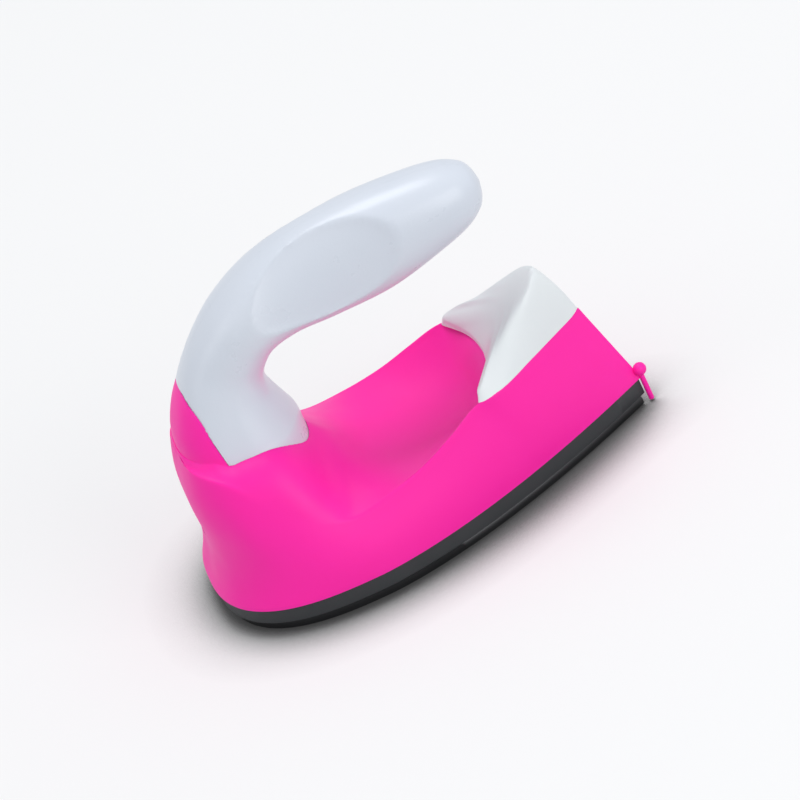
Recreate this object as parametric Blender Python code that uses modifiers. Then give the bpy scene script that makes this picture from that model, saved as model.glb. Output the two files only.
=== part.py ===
"""A mini handheld heat press: pointed sole, black ring, moulded body, nose cover and C-shaped handle.

Metres, +Z up. +X runs to the tip, and the origin is under the middle of the outline, on the rest plane.
Places along the length are measured forward from the heel and then moved back by half the length.
"""
import math

import bmesh
import bpy
from mathutils import Matrix, Vector

# Overall sizes
body_length = 0.103
hook_reach = 0.002
overall_length = body_length + hook_reach
body_width = 0.0566
half_width = body_width / 2.0
sole_thickness = 0.0022
ring_height = 0.0040
seat_gap = 0.0003
weld_distance = 0.000002
outline_weld_distance = 0.00001
sheet_weld_distance = 0.00003
wall = 0.0020
cut_overrun = 0.0100
neck_top = 0.0539
nose_height = 0.0435
shoulder_height = 0.0390
deck_height = 0.0292

# Outline of the foot seen from above
widest_share = 0.33
rear_power = 2.6
front_power = 1.6
sole_inset = 0.0016
ring_inset = 0.0006
ring_band = 0.0065

ring_bottom = sole_thickness + seat_gap
ring_top = ring_bottom + ring_height
foot_height = ring_top + seat_gap

parts = bpy.data.collections.new("mini_heat_press")
cutters = bpy.data.collections.new("cutters")


def clear_scene():
    for thing in list(bpy.data.objects):
        bpy.data.objects.remove(thing, do_unlink=True)
    bpy.context.scene.collection.children.link(parts)
    bpy.context.scene.collection.children.link(cutters)


def plastic(name, colour, roughness, metallic=0.0):
    made = bpy.data.materials.new(name)
    made.use_nodes = True
    shader = made.node_tree.nodes["Principled BSDF"]
    shader.inputs["Base Color"].default_value = (*colour, 1.0)
    shader.inputs["Roughness"].default_value = roughness
    shader.inputs["Metallic"].default_value = metallic
    return made


pink = plastic("pink_plastic", (0.93, 0.05, 0.42), 0.38)
white = plastic("white_plastic", (0.80, 0.83, 0.86), 0.35)
nose_white = plastic("nose_white_plastic", (0.76, 0.79, 0.79), 0.40)
charcoal = plastic("charcoal_resin", (0.03, 0.033, 0.036), 0.55)
coated = plastic("coated_aluminium", (0.10, 0.10, 0.11), 0.35, 0.6)
steel = plastic("plated_steel", (0.62, 0.62, 0.64), 0.35, 1.0)
brass = plastic("brass", (0.75, 0.58, 0.25), 0.35, 1.0)
ceramic = plastic("ceramic", (0.86, 0.84, 0.78), 0.60)
mica = plastic("mica_sheet", (0.55, 0.45, 0.30), 0.50)
rubber = plastic("black_rubber", (0.02, 0.02, 0.02), 0.75)
brown_wire = plastic("brown_insulation", (0.25, 0.10, 0.04), 0.55)
blue_wire = plastic("blue_insulation", (0.05, 0.16, 0.55), 0.55)
glass_sleeve = plastic("glass_fibre_sleeve", (0.82, 0.78, 0.62), 0.85)


def along(distance):
    """World X of a place measured forward from the heel."""
    return distance - overall_length / 2.0


def keep(thing, material):
    thing.data.materials.clear()
    thing.data.materials.append(material)
    for holder in list(thing.users_collection):
        holder.objects.unlink(thing)
    parts.objects.link(thing)
    return thing


def set_aside(thing):
    """Put a helper solid among the cutters, shown as wires and never rendered."""
    for holder in list(thing.users_collection):
        holder.objects.unlink(thing)
    cutters.objects.link(thing)
    thing.hide_render = True
    thing.display_type = "WIRE"


def apply_modifiers(thing):
    graph = bpy.context.evaluated_depsgraph_get()
    fixed = bpy.data.meshes.new_from_object(thing.evaluated_get(graph))
    thing.modifiers.clear()
    thing.data = fixed
    return thing


def combine(thing, others, operation):
    """Join or cut a mesh with others, which are used up."""
    for other in others:
        set_aside(other)
        step = thing.modifiers.new(operation.lower(), "BOOLEAN")
        step.operation = operation
        step.solver = "EXACT"
        step.object = other
        apply_modifiers(thing)
        bpy.data.objects.remove(other, do_unlink=True)
        weld(thing.data, weld_distance)
    return thing


def weld(mesh, distance):
    """Merge points that lie together, and turn every face outwards."""
    clean = bmesh.new()
    clean.from_mesh(mesh)
    bmesh.ops.remove_doubles(clean, verts=clean.verts, dist=distance)
    bmesh.ops.dissolve_degenerate(clean, edges=clean.edges, dist=distance)
    bmesh.ops.recalc_face_normals(clean, faces=clean.faces)
    clean.to_mesh(mesh)
    clean.free()


def mesh_object(name, points, faces):
    mesh = bpy.data.meshes.new(name)
    mesh.from_pydata([tuple(point) for point in points], [], faces)
    mesh.update()
    made = bpy.data.objects.new(name, mesh)
    bpy.context.scene.collection.objects.link(made)
    return made


def block(name, low, high, rounding=0.0):
    """A box between two corners, with its edges rounded where a rounding is given."""
    bpy.ops.mesh.primitive_cube_add(size=1.0)
    made = bpy.context.object
    made.name = name
    size = [b - a for a, b in zip(low, high)]
    middle = [(a + b) / 2.0 for a, b in zip(low, high)]
    made.data.transform(Matrix.Translation(middle) @ Matrix.Diagonal((*size, 1.0)))
    if rounding:
        edge = made.modifiers.new("edge", "BEVEL")
        edge.width = rounding
        edge.segments = 2
        apply_modifiers(made)
    return made


def rod(name, start, end, radius, sides=16):
    """A round bar between two points."""
    start = Vector(start)
    end = Vector(end)
    reach = end - start
    bpy.ops.mesh.primitive_cylinder_add(vertices=sides, radius=radius, depth=reach.length)
    made = bpy.context.object
    made.name = name
    turn = reach.to_track_quat("Z", "Y").to_matrix().to_4x4()
    made.data.transform(Matrix.Translation((start + end) / 2.0) @ turn)
    made.data.shade_smooth()
    made.data.set_sharp_from_angle(angle=math.radians(40.0))
    return made


def foot_half_width(share):
    """Half the width of the foot, as a share of the widest place, at a share of the length."""
    if share <= widest_share:
        back = (widest_share - share) / widest_share
        return max(0.0, 1.0 - back ** rear_power) ** (1.0 / rear_power)
    ahead = (share - widest_share) / (1.0 - widest_share)
    return max(0.0, 1.0 - ahead ** front_power)


outline_shares = (0.0, 0.0012, 0.006, 0.018, 0.04, 0.075, 0.12, 0.18, 0.25, 0.33, 0.42, 0.51, 0.60, 0.69,
                  0.77, 0.84, 0.90, 0.95, 0.985, 1.0)


def outline(inset):
    """Points around the foot outline, drawn in by an inset."""
    length = body_length - 2.0 * inset
    width = half_width - inset
    near = [(along(inset + share * length), width * foot_half_width(share)) for share in outline_shares]
    far = [(x, -y) for x, y in reversed(near[1:-1])]
    return near + far


def plate(name, loop, bottom, top, rounding=0.0):
    """A flat piece cut to an outline, between two heights."""
    curve = bpy.data.curves.new(name, "CURVE")
    curve.dimensions = "2D"
    curve.fill_mode = "BOTH"
    curve.extrude = (top - bottom) / 2.0
    line = curve.splines.new("POLY")
    line.points.add(len(loop) - 1)
    for point, (x, y) in zip(line.points, loop):
        point.co = (x, y, 0.0, 1.0)
    line.use_cyclic_u = True
    drawn = bpy.data.objects.new(name, curve)
    drawn.location = (0.0, 0.0, (top + bottom) / 2.0)
    bpy.context.scene.collection.objects.link(drawn)
    graph = bpy.context.evaluated_depsgraph_get()
    mesh = bpy.data.meshes.new_from_object(drawn.evaluated_get(graph))
    mesh.transform(Matrix.Translation(drawn.location))
    bpy.data.objects.remove(drawn, do_unlink=True)
    weld(mesh, outline_weld_distance)
    made = bpy.data.objects.new(name, mesh)
    bpy.context.scene.collection.objects.link(made)
    if rounding:
        edge = made.modifiers.new("edge", "BEVEL")
        edge.width = rounding
        edge.segments = 2
        edge.angle_limit = math.radians(60.0)
        apply_modifiers(made)
    return made


def wire(name, points, radius):
    """A lead through points, as a poly line drawn from a smooth curve through them."""
    curve = bpy.data.curves.new(name, "CURVE")
    curve.dimensions = "3D"
    curve.bevel_depth = radius
    curve.bevel_resolution = 1
    curve.use_fill_caps = True
    fine = smooth_rows([tuple(point) for point in points], wire_steps)
    line = curve.splines.new("POLY")
    line.points.add(len(fine) - 1)
    for place, (x, y, z) in zip(line.points, fine):
        place.co = (x, y, z, 1.0)
    drawn = bpy.data.objects.new(name, curve)
    bpy.context.scene.collection.objects.link(drawn)
    graph = bpy.context.evaluated_depsgraph_get()
    mesh = bpy.data.meshes.new_from_object(drawn.evaluated_get(graph))
    bpy.data.objects.remove(drawn, do_unlink=True)
    weld(mesh, outline_weld_distance)
    made = bpy.data.objects.new(name, mesh)
    bpy.context.scene.collection.objects.link(made)
    return made


def smooth_rows(rows, steps):
    """Rows read from a smooth curve through the given rows, with so many steps between two of them."""
    made = []
    last = len(rows) - 1
    for index in range(last):
        before = rows[max(index - 1, 0)]
        here = rows[index]
        there = rows[index + 1]
        after = rows[min(index + 2, last)]
        for step in range(steps):
            t = step / steps
            made.append(tuple(
                0.5 * (2.0 * b + (c - a) * t + (2.0 * a - 5.0 * b + 4.0 * c - d) * t * t
                       + (3.0 * b - a - 3.0 * c + d) * t * t * t)
                for a, b, c, d in zip(before, here, there, after)))
    made.append(tuple(rows[last]))
    return made


wire_steps = 4

# The body form
# Each rib of the form runs from the foot up the wall to a crest, and from the crest in to the spine.
# Shares of the body length, half width and shoulder height: foot x, crest x, y, z, spine x, z,
# how steeply the top falls to the crest, and the wall's belly and sway in shares of the half width.
rib_shares = (
    (0.000, 0.051, 0.000, 1.01, 0.060, 1.01, 5.0, 0.010, -0.054),
    (0.003, 0.052, 0.210, 1.01, 0.068, 1.01, 5.0, 0.010, -0.054),
    (0.016, 0.063, 0.390, 1.00, 0.084, 1.01, 5.0, 0.010, -0.052),
    (0.048, 0.089, 0.530, 0.98, 0.114, 1.01, 5.5, 0.012, -0.044),
    (0.098, 0.127, 0.650, 0.92, 0.152, 1.01, 6.0, 0.015, -0.028),
    (0.158, 0.172, 0.760, 0.79, 0.195, 1.01, 6.5, 0.020, -0.010),
    (0.235, 0.235, 0.850, 0.63, 0.255, 0.98, 5.5, 0.030, 0.000),
    (0.330, 0.322, 0.866, 0.550, 0.320, 0.86, 2.6, 0.035, 0.000),
    (0.425, 0.415, 0.820, 0.540, 0.405, 0.59, 2.2, 0.040, 0.000),
    (0.520, 0.505, 0.775, 0.590, 0.500, 0.51, 2.2, 0.045, 0.000),
    (0.615, 0.590, 0.715, 0.675, 0.585, 0.51, 2.2, 0.050, 0.000),
    (0.695, 0.655, 0.650, 0.745, 0.655, 0.59, 2.4, 0.050, 0.000),
    (0.755, 0.713, 0.610, 0.749, 0.720, 0.745, 2.0, 0.045, 0.000),
    (0.825, 0.781, 0.455, 0.749, 0.778, 0.749, 2.0, 0.040, 0.000),
    (0.895, 0.849, 0.270, 0.749, 0.845, 0.749, 2.0, 0.025, 0.000),
    (0.955, 0.905, 0.115, 0.749, 0.895, 0.749, 2.0, 0.010, 0.000),
    (1.000, 0.942, 0.000, 0.749, 0.922, 0.749, 2.0, 0.000, 0.000),
)
wall_rise_shares = (0.0, 0.10, 0.25, 0.42, 0.60, 0.78, 0.92, 1.0)
top_inward_shares = (0.05, 0.14, 0.28, 0.44, 0.62, 0.80, 1.0)
rib_steps = 2


def drawn_in(place, inset):
    """A place on the wall moved inwards, so that the wall left outside it is about the inset thick."""
    middle = along(widest_share * body_length)
    along_share = 1.0 - inset_reach_share * inset / body_length
    across_share = 1.0 - inset_width_share * inset / half_width
    return Vector((middle + (place.x - middle) * along_share, place.y * across_share, place.z))


inset_reach_share = 3.3
inset_width_share = 1.15
crest_inset_share = 1.4
spine_shift_share = 0.7
spine_turn_share = 0.70


def rib_points(rib, inset=0.0):
    """Points of one rib, from the foot to the spine, on the side of positive Y."""
    foot_x, crest_x, crest_y, crest_z, spine_x, spine_z, fall, belly, sway = rib
    foot = Vector((along(foot_x * body_length), half_width * foot_half_width(foot_x), foot_height))
    crest_height = crest_z * shoulder_height - crest_inset_share * inset
    crest = Vector((along(crest_x * body_length), crest_y * half_width, crest_height))
    turn = min(max((spine_x - spine_turn_share) / (1.0 - spine_turn_share), 0.0), 1.0)
    foot = drawn_in(foot, inset)
    moved = drawn_in(crest, inset * crest_inset_share)
    if crest_x > widest_share:
        moved.x = crest.x + (moved.x - crest.x) * turn
    crest = moved
    spine = Vector((along(spine_x * body_length), 0.0, spine_z * shoulder_height - inset))
    spine.x = (spine.x + spine_shift_share * inset) * (1.0 - turn) + drawn_in(spine, inset).x * turn
    outward = Vector((foot.x - along(widest_share * body_length), foot.y, 0.0)).normalized()
    points = [foot - Vector((0.0, 0.0, wall + inset))]
    for rise in wall_rise_shares:
        swell = belly * math.sin(math.pi * rise) + sway * math.sin(2.0 * math.pi * rise)
        points.append(foot.lerp(crest, rise) + outward * swell * half_width)
    for inward in top_inward_shares:
        place = crest.lerp(spine, inward)
        place.z = spine.z + (crest.z - spine.z) * (1.0 - inward) ** fall
        points.append(place)
    if foot_x in (0.0, 1.0):
        for point in points:
            point.y = 0.0
    points[-1].y = 0.0
    return points


def half_grid(name, rows):
    """A sheet through rows of points on the side of positive Y, mirrored to the other side."""
    count = len(rows[0])
    points = [point for row in rows for point in row]
    faces = []
    for row in range(len(rows) - 1):
        for column in range(count - 1):
            a = row * count + column
            faces.append((a, a + 1, a + count + 1, a + count))
    sheet = mesh_object(name, points, faces)
    weld(sheet.data, sheet_weld_distance)
    return sheet


def mirrored(sheet):
    both = sheet.modifiers.new("both_sides", "MIRROR")
    both.use_axis = (False, True, False)
    both.merge_threshold = sheet_weld_distance
    apply_modifiers(sheet)
    weld(sheet.data, sheet_weld_distance)
    return sheet


def filled(sheet):
    """Close the open edge of a sheet, so that it becomes a solid."""
    clean = bmesh.new()
    clean.from_mesh(sheet.data)
    rim = [edge for edge in clean.edges if edge.is_boundary]
    bmesh.ops.triangle_fill(clean, edges=rim, use_beauty=True)
    bmesh.ops.recalc_face_normals(clean, faces=clean.faces)
    clean.to_mesh(sheet.data)
    clean.free()
    return sheet


def flat_below(piece, height):
    """Cut everything below a height away, which leaves a flat seat."""
    low = (-overall_length, -body_width, height - body_width)
    high = (overall_length, body_width, height)
    return combine(piece, [block("below", low, high)], "DIFFERENCE")


def body_form(name, inset=0.0):
    """The whole form of the body as a solid, drawn in by an inset."""
    ribs = smooth_rows(rib_shares, rib_steps)
    return filled(mirrored(half_grid(name, [rib_points(rib, inset) for rib in ribs])))


# The neck, where the handle stands in the body behind the pointed upstand
# Shares of the neck top height: height; then rear x and front x in shares of the body length, and
# half the neck's width in shares of the half width.
neck_shares = (
    (0.672, 0.0550, 0.323, 0.515),
    (0.740, 0.0590, 0.318, 0.490),
    (0.825, 0.0700, 0.303, 0.445),
    (0.920, 0.0900, 0.297, 0.400),
    (1.000, 0.1135, 0.310, 0.365),
)
neck_power = 2.5
neck_sides = 28
split_foot_x = 0.0146
split_top_x = 0.0117
split_foot_height = 0.0375


def neck_section(height_share, rear_share, front_share, width_share):
    height = height_share * neck_top
    rear = along(rear_share * body_length)
    front = along(front_share * body_length)
    middle = (rear + front) / 2.0
    reach = (front - rear) / 2.0
    width = width_share * half_width
    ring = []
    for side in range(neck_sides):
        angle = 2.0 * math.pi * side / neck_sides
        c = math.cos(angle)
        s = math.sin(angle)
        x = middle + reach * math.copysign(abs(c) ** (2.0 / neck_power), c)
        y = width * math.copysign(abs(s) ** (2.0 / neck_power), s)
        ring.append((x, y, height))
    return ring


def loft(name, rings):
    """A closed solid through rings of equal count, with flat ends."""
    count = len(rings[0])
    points = [point for ring in rings for point in ring]
    faces = []
    for row in range(len(rings) - 1):
        for side in range(count):
            a = row * count + side
            b = row * count + (side + 1) % count
            faces.append((a, b, b + count, a + count))
    faces.append(tuple(reversed(range(count))))
    last = (len(rings) - 1) * count
    faces.append(tuple(range(last, last + count)))
    made = mesh_object(name, points, faces)
    weld(made.data, weld_distance)
    return made


def split_x(height):
    """World X of the plane between upstand and handle at a height."""
    rise = (height - split_foot_height) / (neck_top - split_foot_height)
    return along(split_foot_x + (split_top_x - split_foot_x) * rise)


def upstand():
    """The pointed pink upstand behind the neck."""
    made = loft("upstand", [neck_section(*row) for row in neck_shares])
    low = split_foot_height - cut_overrun
    high = neck_top + cut_overrun
    reach = body_length
    corners = []
    for side in (-body_width, body_width):
        corners.append((split_x(low) - seat_gap, side, low))
        corners.append((split_x(low) + reach, side, low))
        corners.append((split_x(high) + reach, side, high))
        corners.append((split_x(high) - seat_gap, side, high))
    front = loft("front_of_upstand", [corners[:4], corners[4:]])
    return combine(made, [front], "DIFFERENCE")


# The handle
# Each ring of the handle: centre x and height, half depth across the path, half width, and the
# direction of the path in degrees above the horizontal. Places in shares of the overall length
# and of the handle height, sizes in shares of the grip depth.
handle_height = 0.0792
grip_depth = 0.0234
handle_wall = 0.0022
foot_bottom = 0.0298
foot_bottom_share = foot_bottom / handle_height
handle_shares = (
    (0.1815, foot_bottom_share, 0.605, 0.615, 90.0),
    (0.1815, 0.460, 0.605, 0.615, 90.0),
    (0.1800, 0.500, 0.580, 0.590, 88.0),
    (0.1830, 0.561, 0.504, 0.530, 84.0),
    (0.1942, 0.628, 0.428, 0.470, 72.0),
    (0.2126, 0.685, 0.381, 0.432, 60.0),
    (0.2448, 0.739, 0.362, 0.422, 46.0),
    (0.2906, 0.788, 0.366, 0.424, 32.0),
    (0.3660, 0.827, 0.420, 0.433, 14.0),
    (0.4620, 0.843, 0.487, 0.440, 5.0),
    (0.5900, 0.851, 0.500, 0.440, 4.0),
    (0.7080, 0.866, 0.424, 0.402, 6.0),
    (0.7840, 0.874, 0.342, 0.346, 4.0),
    (0.8260, 0.877, 0.240, 0.250, 1.0),
    (0.8425, 0.878, 0.138, 0.143, 0.0),
    (0.8490, 0.878, 0.012, 0.012, 0.0),
)
handle_turns = 32
handle_steps = 2
section_power = 2.15
least_ring_share = 1.6

# The thumb scoop, pressed into both flanks of the grip: the place and reach of its middle along the
# overall length, its depth in shares of the grip depth, and its middle and reach round the grip,
# in degrees down from the top of the grip.
scoop_x_share = 0.475
scoop_reach_share = 0.170
scoop_depth_share = 0.100
scoop_turn = 73.0
scoop_turn_reach = 54.0


def scoop(x, angle):
    """How deep the scoop is at a place along the handle and an angle round it, as a share of its depth."""
    down = math.degrees(math.acos(math.cos(angle)))
    forward_share = (x - along(scoop_x_share * overall_length)) / (scoop_reach_share * overall_length)
    down_share = (down - scoop_turn) / scoop_turn_reach
    return max(0.0, 1.0 - forward_share * forward_share - down_share * down_share)


def handle_ring(ring, inset):
    """One closed ring of the handle, drawn in by an inset."""
    x_share, z_share, depth_share, width_share, heading = ring
    centre_x = along(x_share * overall_length)
    centre_z = z_share * handle_height
    depth = depth_share * grip_depth - inset
    width = width_share * grip_depth - inset
    turn = math.radians(heading)
    points = []
    for step in range(handle_turns):
        angle = 2.0 * math.pi * step / handle_turns
        c = math.cos(angle)
        s = math.sin(angle)
        across = depth * math.copysign(abs(c) ** (2.0 / section_power), c)
        out = width * math.copysign(abs(s) ** (2.0 / section_power), s)
        hollow = scoop(centre_x - across * math.sin(turn), angle)
        drawn = 1.0 - scoop_depth_share * grip_depth * hollow / width
        x = centre_x - across * drawn * math.sin(turn)
        z = centre_z + across * drawn * math.cos(turn)
        if z < neck_top:
            x = max(x, split_x(max(z, split_foot_height)) + inset)
        points.append((x, out * drawn, z))
    return points


def handle_form(name, inset=0.0):
    """The whole handle as a solid, drawn in by an inset and left open at the foot if it is drawn in."""
    smallest = inset * least_ring_share
    rings = [ring for ring in smooth_rows(handle_shares, handle_steps) if ring[2] * grip_depth > smallest]
    loops = [handle_ring(ring, inset) for ring in rings]
    if inset:
        loops.insert(0, [(x, y, z - inset) for x, y, z in loops[0]])
    return loft(name, loops)


handle_screw_shares = ((0.235, 0.735), (0.462, 0.843), (0.700, 0.865))
boss_radius = 0.0030
screw_radius = 0.0012
screw_head_radius = 0.0023
screw_head_height = 0.0014
pilot_depth = 0.0060
screw_recess = 0.0030


def screw(name, head, tip):
    """A pan-head screw whose head starts at one point and whose tip is at another."""
    head = Vector(head)
    tip = Vector(tip)
    line = (tip - head).normalized()
    shank = rod(name, head + line * screw_head_height / 2.0, tip, screw_radius, 10)
    top = rod("head", head, head + line * screw_head_height, screw_head_radius, 14)
    return combine(shank, [top], "UNION")


def handle_piece(name, side):
    """One moulded half of the handle, with its screw bosses and its foot block."""
    solid = handle_form("solid", handle_wall / 2.0)
    shell = combine(handle_form(name), [handle_form("hollow", handle_wall)], "DIFFERENCE")
    middle = side * seat_gap / 2.0
    other_side = sorted((middle, -side * body_width))
    low = (-overall_length, other_side[0], -body_width)
    high = (overall_length, other_side[1], 2.0 * handle_height)
    combine(shell, [block("other_half", low, high)], "DIFFERENCE")
    fillers = []
    for x_share, z_share in handle_screw_shares:
        x = along(x_share * overall_length)
        z = z_share * handle_height
        fillers.append(rod("boss", (x, middle, z), (x, side * grip_depth, z), boss_radius, 16))
    low = (along(foot_block_start), min(middle, side * grip_depth), foot_bottom + seat_gap)
    high = (along(foot_block_end), max(middle, side * grip_depth), foot_bottom + foot_block_height)
    fillers.append(block("foot_block", low, high))
    for filler in fillers:
        inside = combine(filler, [copy_of(solid)], "INTERSECT")
        combine(shell, [inside], "UNION")
    bpy.data.objects.remove(solid, do_unlink=True)
    return shell


foot_block_start = 0.0170
foot_block_end = 0.0300
foot_block_height = 0.0070
foot_screw_x = 0.0220
foot_screw_y = 0.0060


def copy_of(thing):
    made = thing.copy()
    made.data = thing.data.copy()
    bpy.context.scene.collection.objects.link(made)
    return made


def drilled(piece, start, end, radius):
    return combine(piece, [rod("drill", start, end, radius, 16)], "DIFFERENCE")


def make_handle():
    left = handle_piece("handle_left", 1.0)
    right = handle_piece("handle_right", -1.0)
    for number, (x_share, z_share) in enumerate(handle_screw_shares, 1):
        x = along(x_share * overall_length)
        z = z_share * handle_height
        face = screw_recess + screw_head_height
        drilled(left, (x, -grip_depth, z), (x, grip_depth, z), screw_radius + seat_gap)
        drilled(left, (x, face, z), (x, grip_depth, z), screw_head_radius + seat_gap)
        drilled(right, (x, grip_depth, z), (x, -pilot_depth, z), screw_radius + seat_gap)
        head = face + seat_gap + screw_head_height
        fixing = screw(f"handle_screw_{number}", (x, head, z), (x, seat_gap - pilot_depth, z))
        keep(fixing, steel)
    for half, side in ((left, 1.0), (right, -1.0)):
        x = along(foot_screw_x)
        y = side * foot_screw_y
        drilled(half, (x, y, foot_bottom - cut_overrun), (x, y, foot_bottom + pilot_depth),
                screw_radius + seat_gap)
    keep(left, white)
    keep(right, white)


# The nose cover
# Each rib of the cover runs from its seat up to a crest and in to the spine. Shares of the body
# length, half width and nose height: seat x and y, crest x, y and z, spine x and z.
nose_shares = (
    (0.722, 0.000, 0.724, 0.000, 0.720, 0.730, 0.740),
    (0.716, 0.200, 0.718, 0.190, 0.730, 0.745, 0.775),
    (0.702, 0.370, 0.704, 0.355, 0.745, 0.765, 0.815),
    (0.684, 0.500, 0.686, 0.485, 0.760, 0.785, 0.850),
    (0.668, 0.610, 0.674, 0.585, 0.775, 0.802, 0.875),
    (0.674, 0.640, 0.688, 0.580, 0.800, 0.815, 0.895),
    (0.700, 0.625, 0.715, 0.480, 0.840, 0.828, 0.915),
    (0.740, 0.560, 0.748, 0.370, 0.885, 0.840, 0.930),
    (0.790, 0.430, 0.795, 0.290, 0.930, 0.850, 0.945),
    (0.840, 0.295, 0.840, 0.235, 0.962, 0.858, 0.960),
    (0.885, 0.175, 0.870, 0.160, 0.982, 0.866, 0.975),
    (0.920, 0.080, 0.888, 0.080, 0.994, 0.874, 0.990),
    (0.940, 0.000, 0.893, 0.000, 1.000, 0.882, 1.000),
)
nose_rise_shares = (0.0, 0.25, 0.55, 0.82, 1.0)
nose_inward_shares = (0.12, 0.34, 0.66, 1.0)
nose_belly_share = 0.03
nose_wall = 0.0018


def nose_points(rib, inset=0.0):
    seat_x, seat_y, crest_x, crest_y, crest_z, spine_x, spine_z = rib
    middle = along(nose_middle_share * body_length)
    smaller = 1.0 - nose_inset_share * inset / half_width
    seat = Vector((along(seat_x * body_length), seat_y * half_width, deck_height))
    crest = Vector((along(crest_x * body_length), crest_y * half_width, crest_z * nose_height - inset))
    spine = Vector((along(spine_x * body_length), 0.0, spine_z * nose_height - inset * nose_drop_share))
    for place in (seat, crest, spine):
        place.x = middle + (place.x - middle) * smaller
        place.y = place.y * smaller
    tall = (crest.z - seat.z) / (nose_height - deck_height)
    outward = Vector((crest.x - along(widest_share * body_length), crest.y, 0.0)).normalized()
    points = [seat - Vector((0.0, 0.0, nose_wall + inset))]
    for rise in nose_rise_shares:
        swell = nose_belly_share * half_width * tall * math.sin(math.pi * rise)
        points.append(seat.lerp(crest, rise) + outward * swell)
    for inward in nose_inward_shares:
        points.append(crest.lerp(spine, inward))
    points[-1].y = 0.0
    if seat_y == 0.0:
        for point in points:
            point.y = 0.0
    return points


nose_middle_share = 0.78
nose_inset_share = 2.1
nose_drop_share = 1.3


def nose_form(name, inset=0.0):
    ribs = smooth_rows(nose_shares, 1)
    return filled(mirrored(half_grid(name, [nose_points(rib, inset) for rib in ribs])))


nose_screw_x = 0.0885
nose_post_radius = 0.0028


def make_nose_cover():
    solid = nose_form("solid", nose_wall / 2.0)
    shell = combine(nose_form("nose_cover"), [nose_form("hollow", nose_wall)], "DIFFERENCE")
    flat_below(shell, deck_height + seat_gap)
    x = along(nose_screw_x)
    seat = deck_height + seat_gap
    post = rod("post", (x, 0.0, seat), (x, 0.0, nose_height), nose_post_radius)
    post = combine(post, [solid], "INTERSECT")
    combine(shell, [post], "UNION")
    drilled(shell, (x, 0.0, seat - cut_overrun), (x, 0.0, seat + pilot_depth), screw_radius + seat_gap)
    keep(shell, nose_white)


# What the body holds
heater_pad_height = 0.0030
pad_start = 0.0300
pad_end = 0.0768
pad_half_width = 0.0092
post_radius = 0.0032
post_top = 0.0137
rear_post_x = 0.0300
front_post_x = 0.0800
shield_thickness = 0.0008
shield_bottom = post_top + seat_gap
shield_top = shield_bottom + shield_thickness
shield_inset = 0.0085
boss_bottom = shield_top + seat_gap
shelf_bottom = 0.0275
shelf_top = foot_bottom - seat_gap
shelf_start = 0.0130
shelf_end = 0.0345
inlet_height = 0.0220
inlet_radius = 0.0040
inlet_flange = 0.0009
inlet_flange_radius = 0.0056


def ring_of(outer, inner, bottom, top, name):
    made = plate(name, outer, bottom, top)
    hole = plate("hole", inner, bottom - cut_overrun, top + cut_overrun)
    return combine(made, [hole], "DIFFERENCE")


def make_sole():
    sole = plate("soleplate", outline(sole_inset), 0.0, sole_thickness, sole_thickness / 5.0)
    raised = plate("raised", outline(ring_band + sole_inset), sole_thickness / 2.0, ring_bottom + seat_gap)
    pad_top = sole_thickness + heater_pad_height
    pad = block("pad", (along(pad_start), -pad_half_width, sole_thickness / 2.0),
                (along(pad_end), pad_half_width, pad_top))
    seat = block("cutout_pad", (along(cutout_start - pad_margin), -cutout_half_width - pad_margin,
                                sole_thickness / 2.0),
                 (along(pad_start + pad_margin), cutout_half_width + pad_margin, pad_top))
    posts = []
    for x in (rear_post_x, front_post_x):
        posts.append(rod("post", (along(x), 0.0, sole_thickness / 2.0), (along(x), 0.0, post_top),
                         post_radius))
    combine(sole, [raised, pad, seat] + posts, "UNION")
    for x in (rear_post_x, front_post_x):
        drilled(sole, (along(x), 0.0, post_top - pilot_depth), (along(x), 0.0, post_top + cut_overrun),
                screw_radius + seat_gap)
    for x in heater_screw_places:
        drilled(sole, (along(x), 0.0, sole_thickness), (along(x), 0.0, pad_top + cut_overrun),
                screw_radius + seat_gap)
    keep(sole, coated)
    ring = ring_of(outline(ring_inset), outline(ring_band), ring_bottom, ring_top, "insulation_ring")
    keep(ring, charcoal)


pad_margin = 0.0010
cutout_start = 0.0130
cutout_end = 0.0240
cutout_half_width = 0.0045
heater_start = 0.0400
heater_end = 0.0700
heater_half_width = 0.0075
heater_thickness = 0.0030
mica_thickness = 0.0005
clamp_thickness = 0.0008
clamp_start = 0.0340
clamp_end = 0.0758
clamp_half_width = 0.0050
heater_screw_places = (0.0370, 0.0728)


def make_heater():
    pad_top = sole_thickness + heater_pad_height
    base = pad_top + seat_gap
    top = base + heater_thickness
    keep(block("ptc_heater", (along(heater_start), -heater_half_width, base),
               (along(heater_end), heater_half_width, top), mica_thickness), ceramic)
    sheet_low = top + seat_gap
    sheet_high = sheet_low + mica_thickness
    keep(block("heater_mica", (along(heater_start), -heater_half_width, sheet_low),
               (along(heater_end), heater_half_width, sheet_high)), mica)
    strip_low = sheet_high + seat_gap
    strip_high = strip_low + clamp_thickness
    strip = block("heater_clamp", (along(clamp_start), -clamp_half_width, strip_low),
                  (along(clamp_end), clamp_half_width, strip_high))
    feet = []
    inner_width = clamp_half_width - seat_gap
    for start, end in ((clamp_start + seat_gap, heater_start - pad_margin),
                       (heater_end + pad_margin, clamp_end - seat_gap)):
        feet.append(block("foot", (along(start), -inner_width, base),
                          (along(end), inner_width, (strip_low + strip_high) / 2.0)))
    combine(strip, feet, "UNION")
    for number, x in enumerate(heater_screw_places, 1):
        drilled(strip, (along(x), 0.0, 0.0), (along(x), 0.0, strip_high + cut_overrun),
                screw_radius + seat_gap)
        keep(screw(f"heater_screw_{number}", (along(x), 0.0, strip_high + seat_gap + screw_head_height),
                   (along(x), 0.0, sole_thickness + seat_gap)), steel)
    keep(strip, steel)


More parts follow.
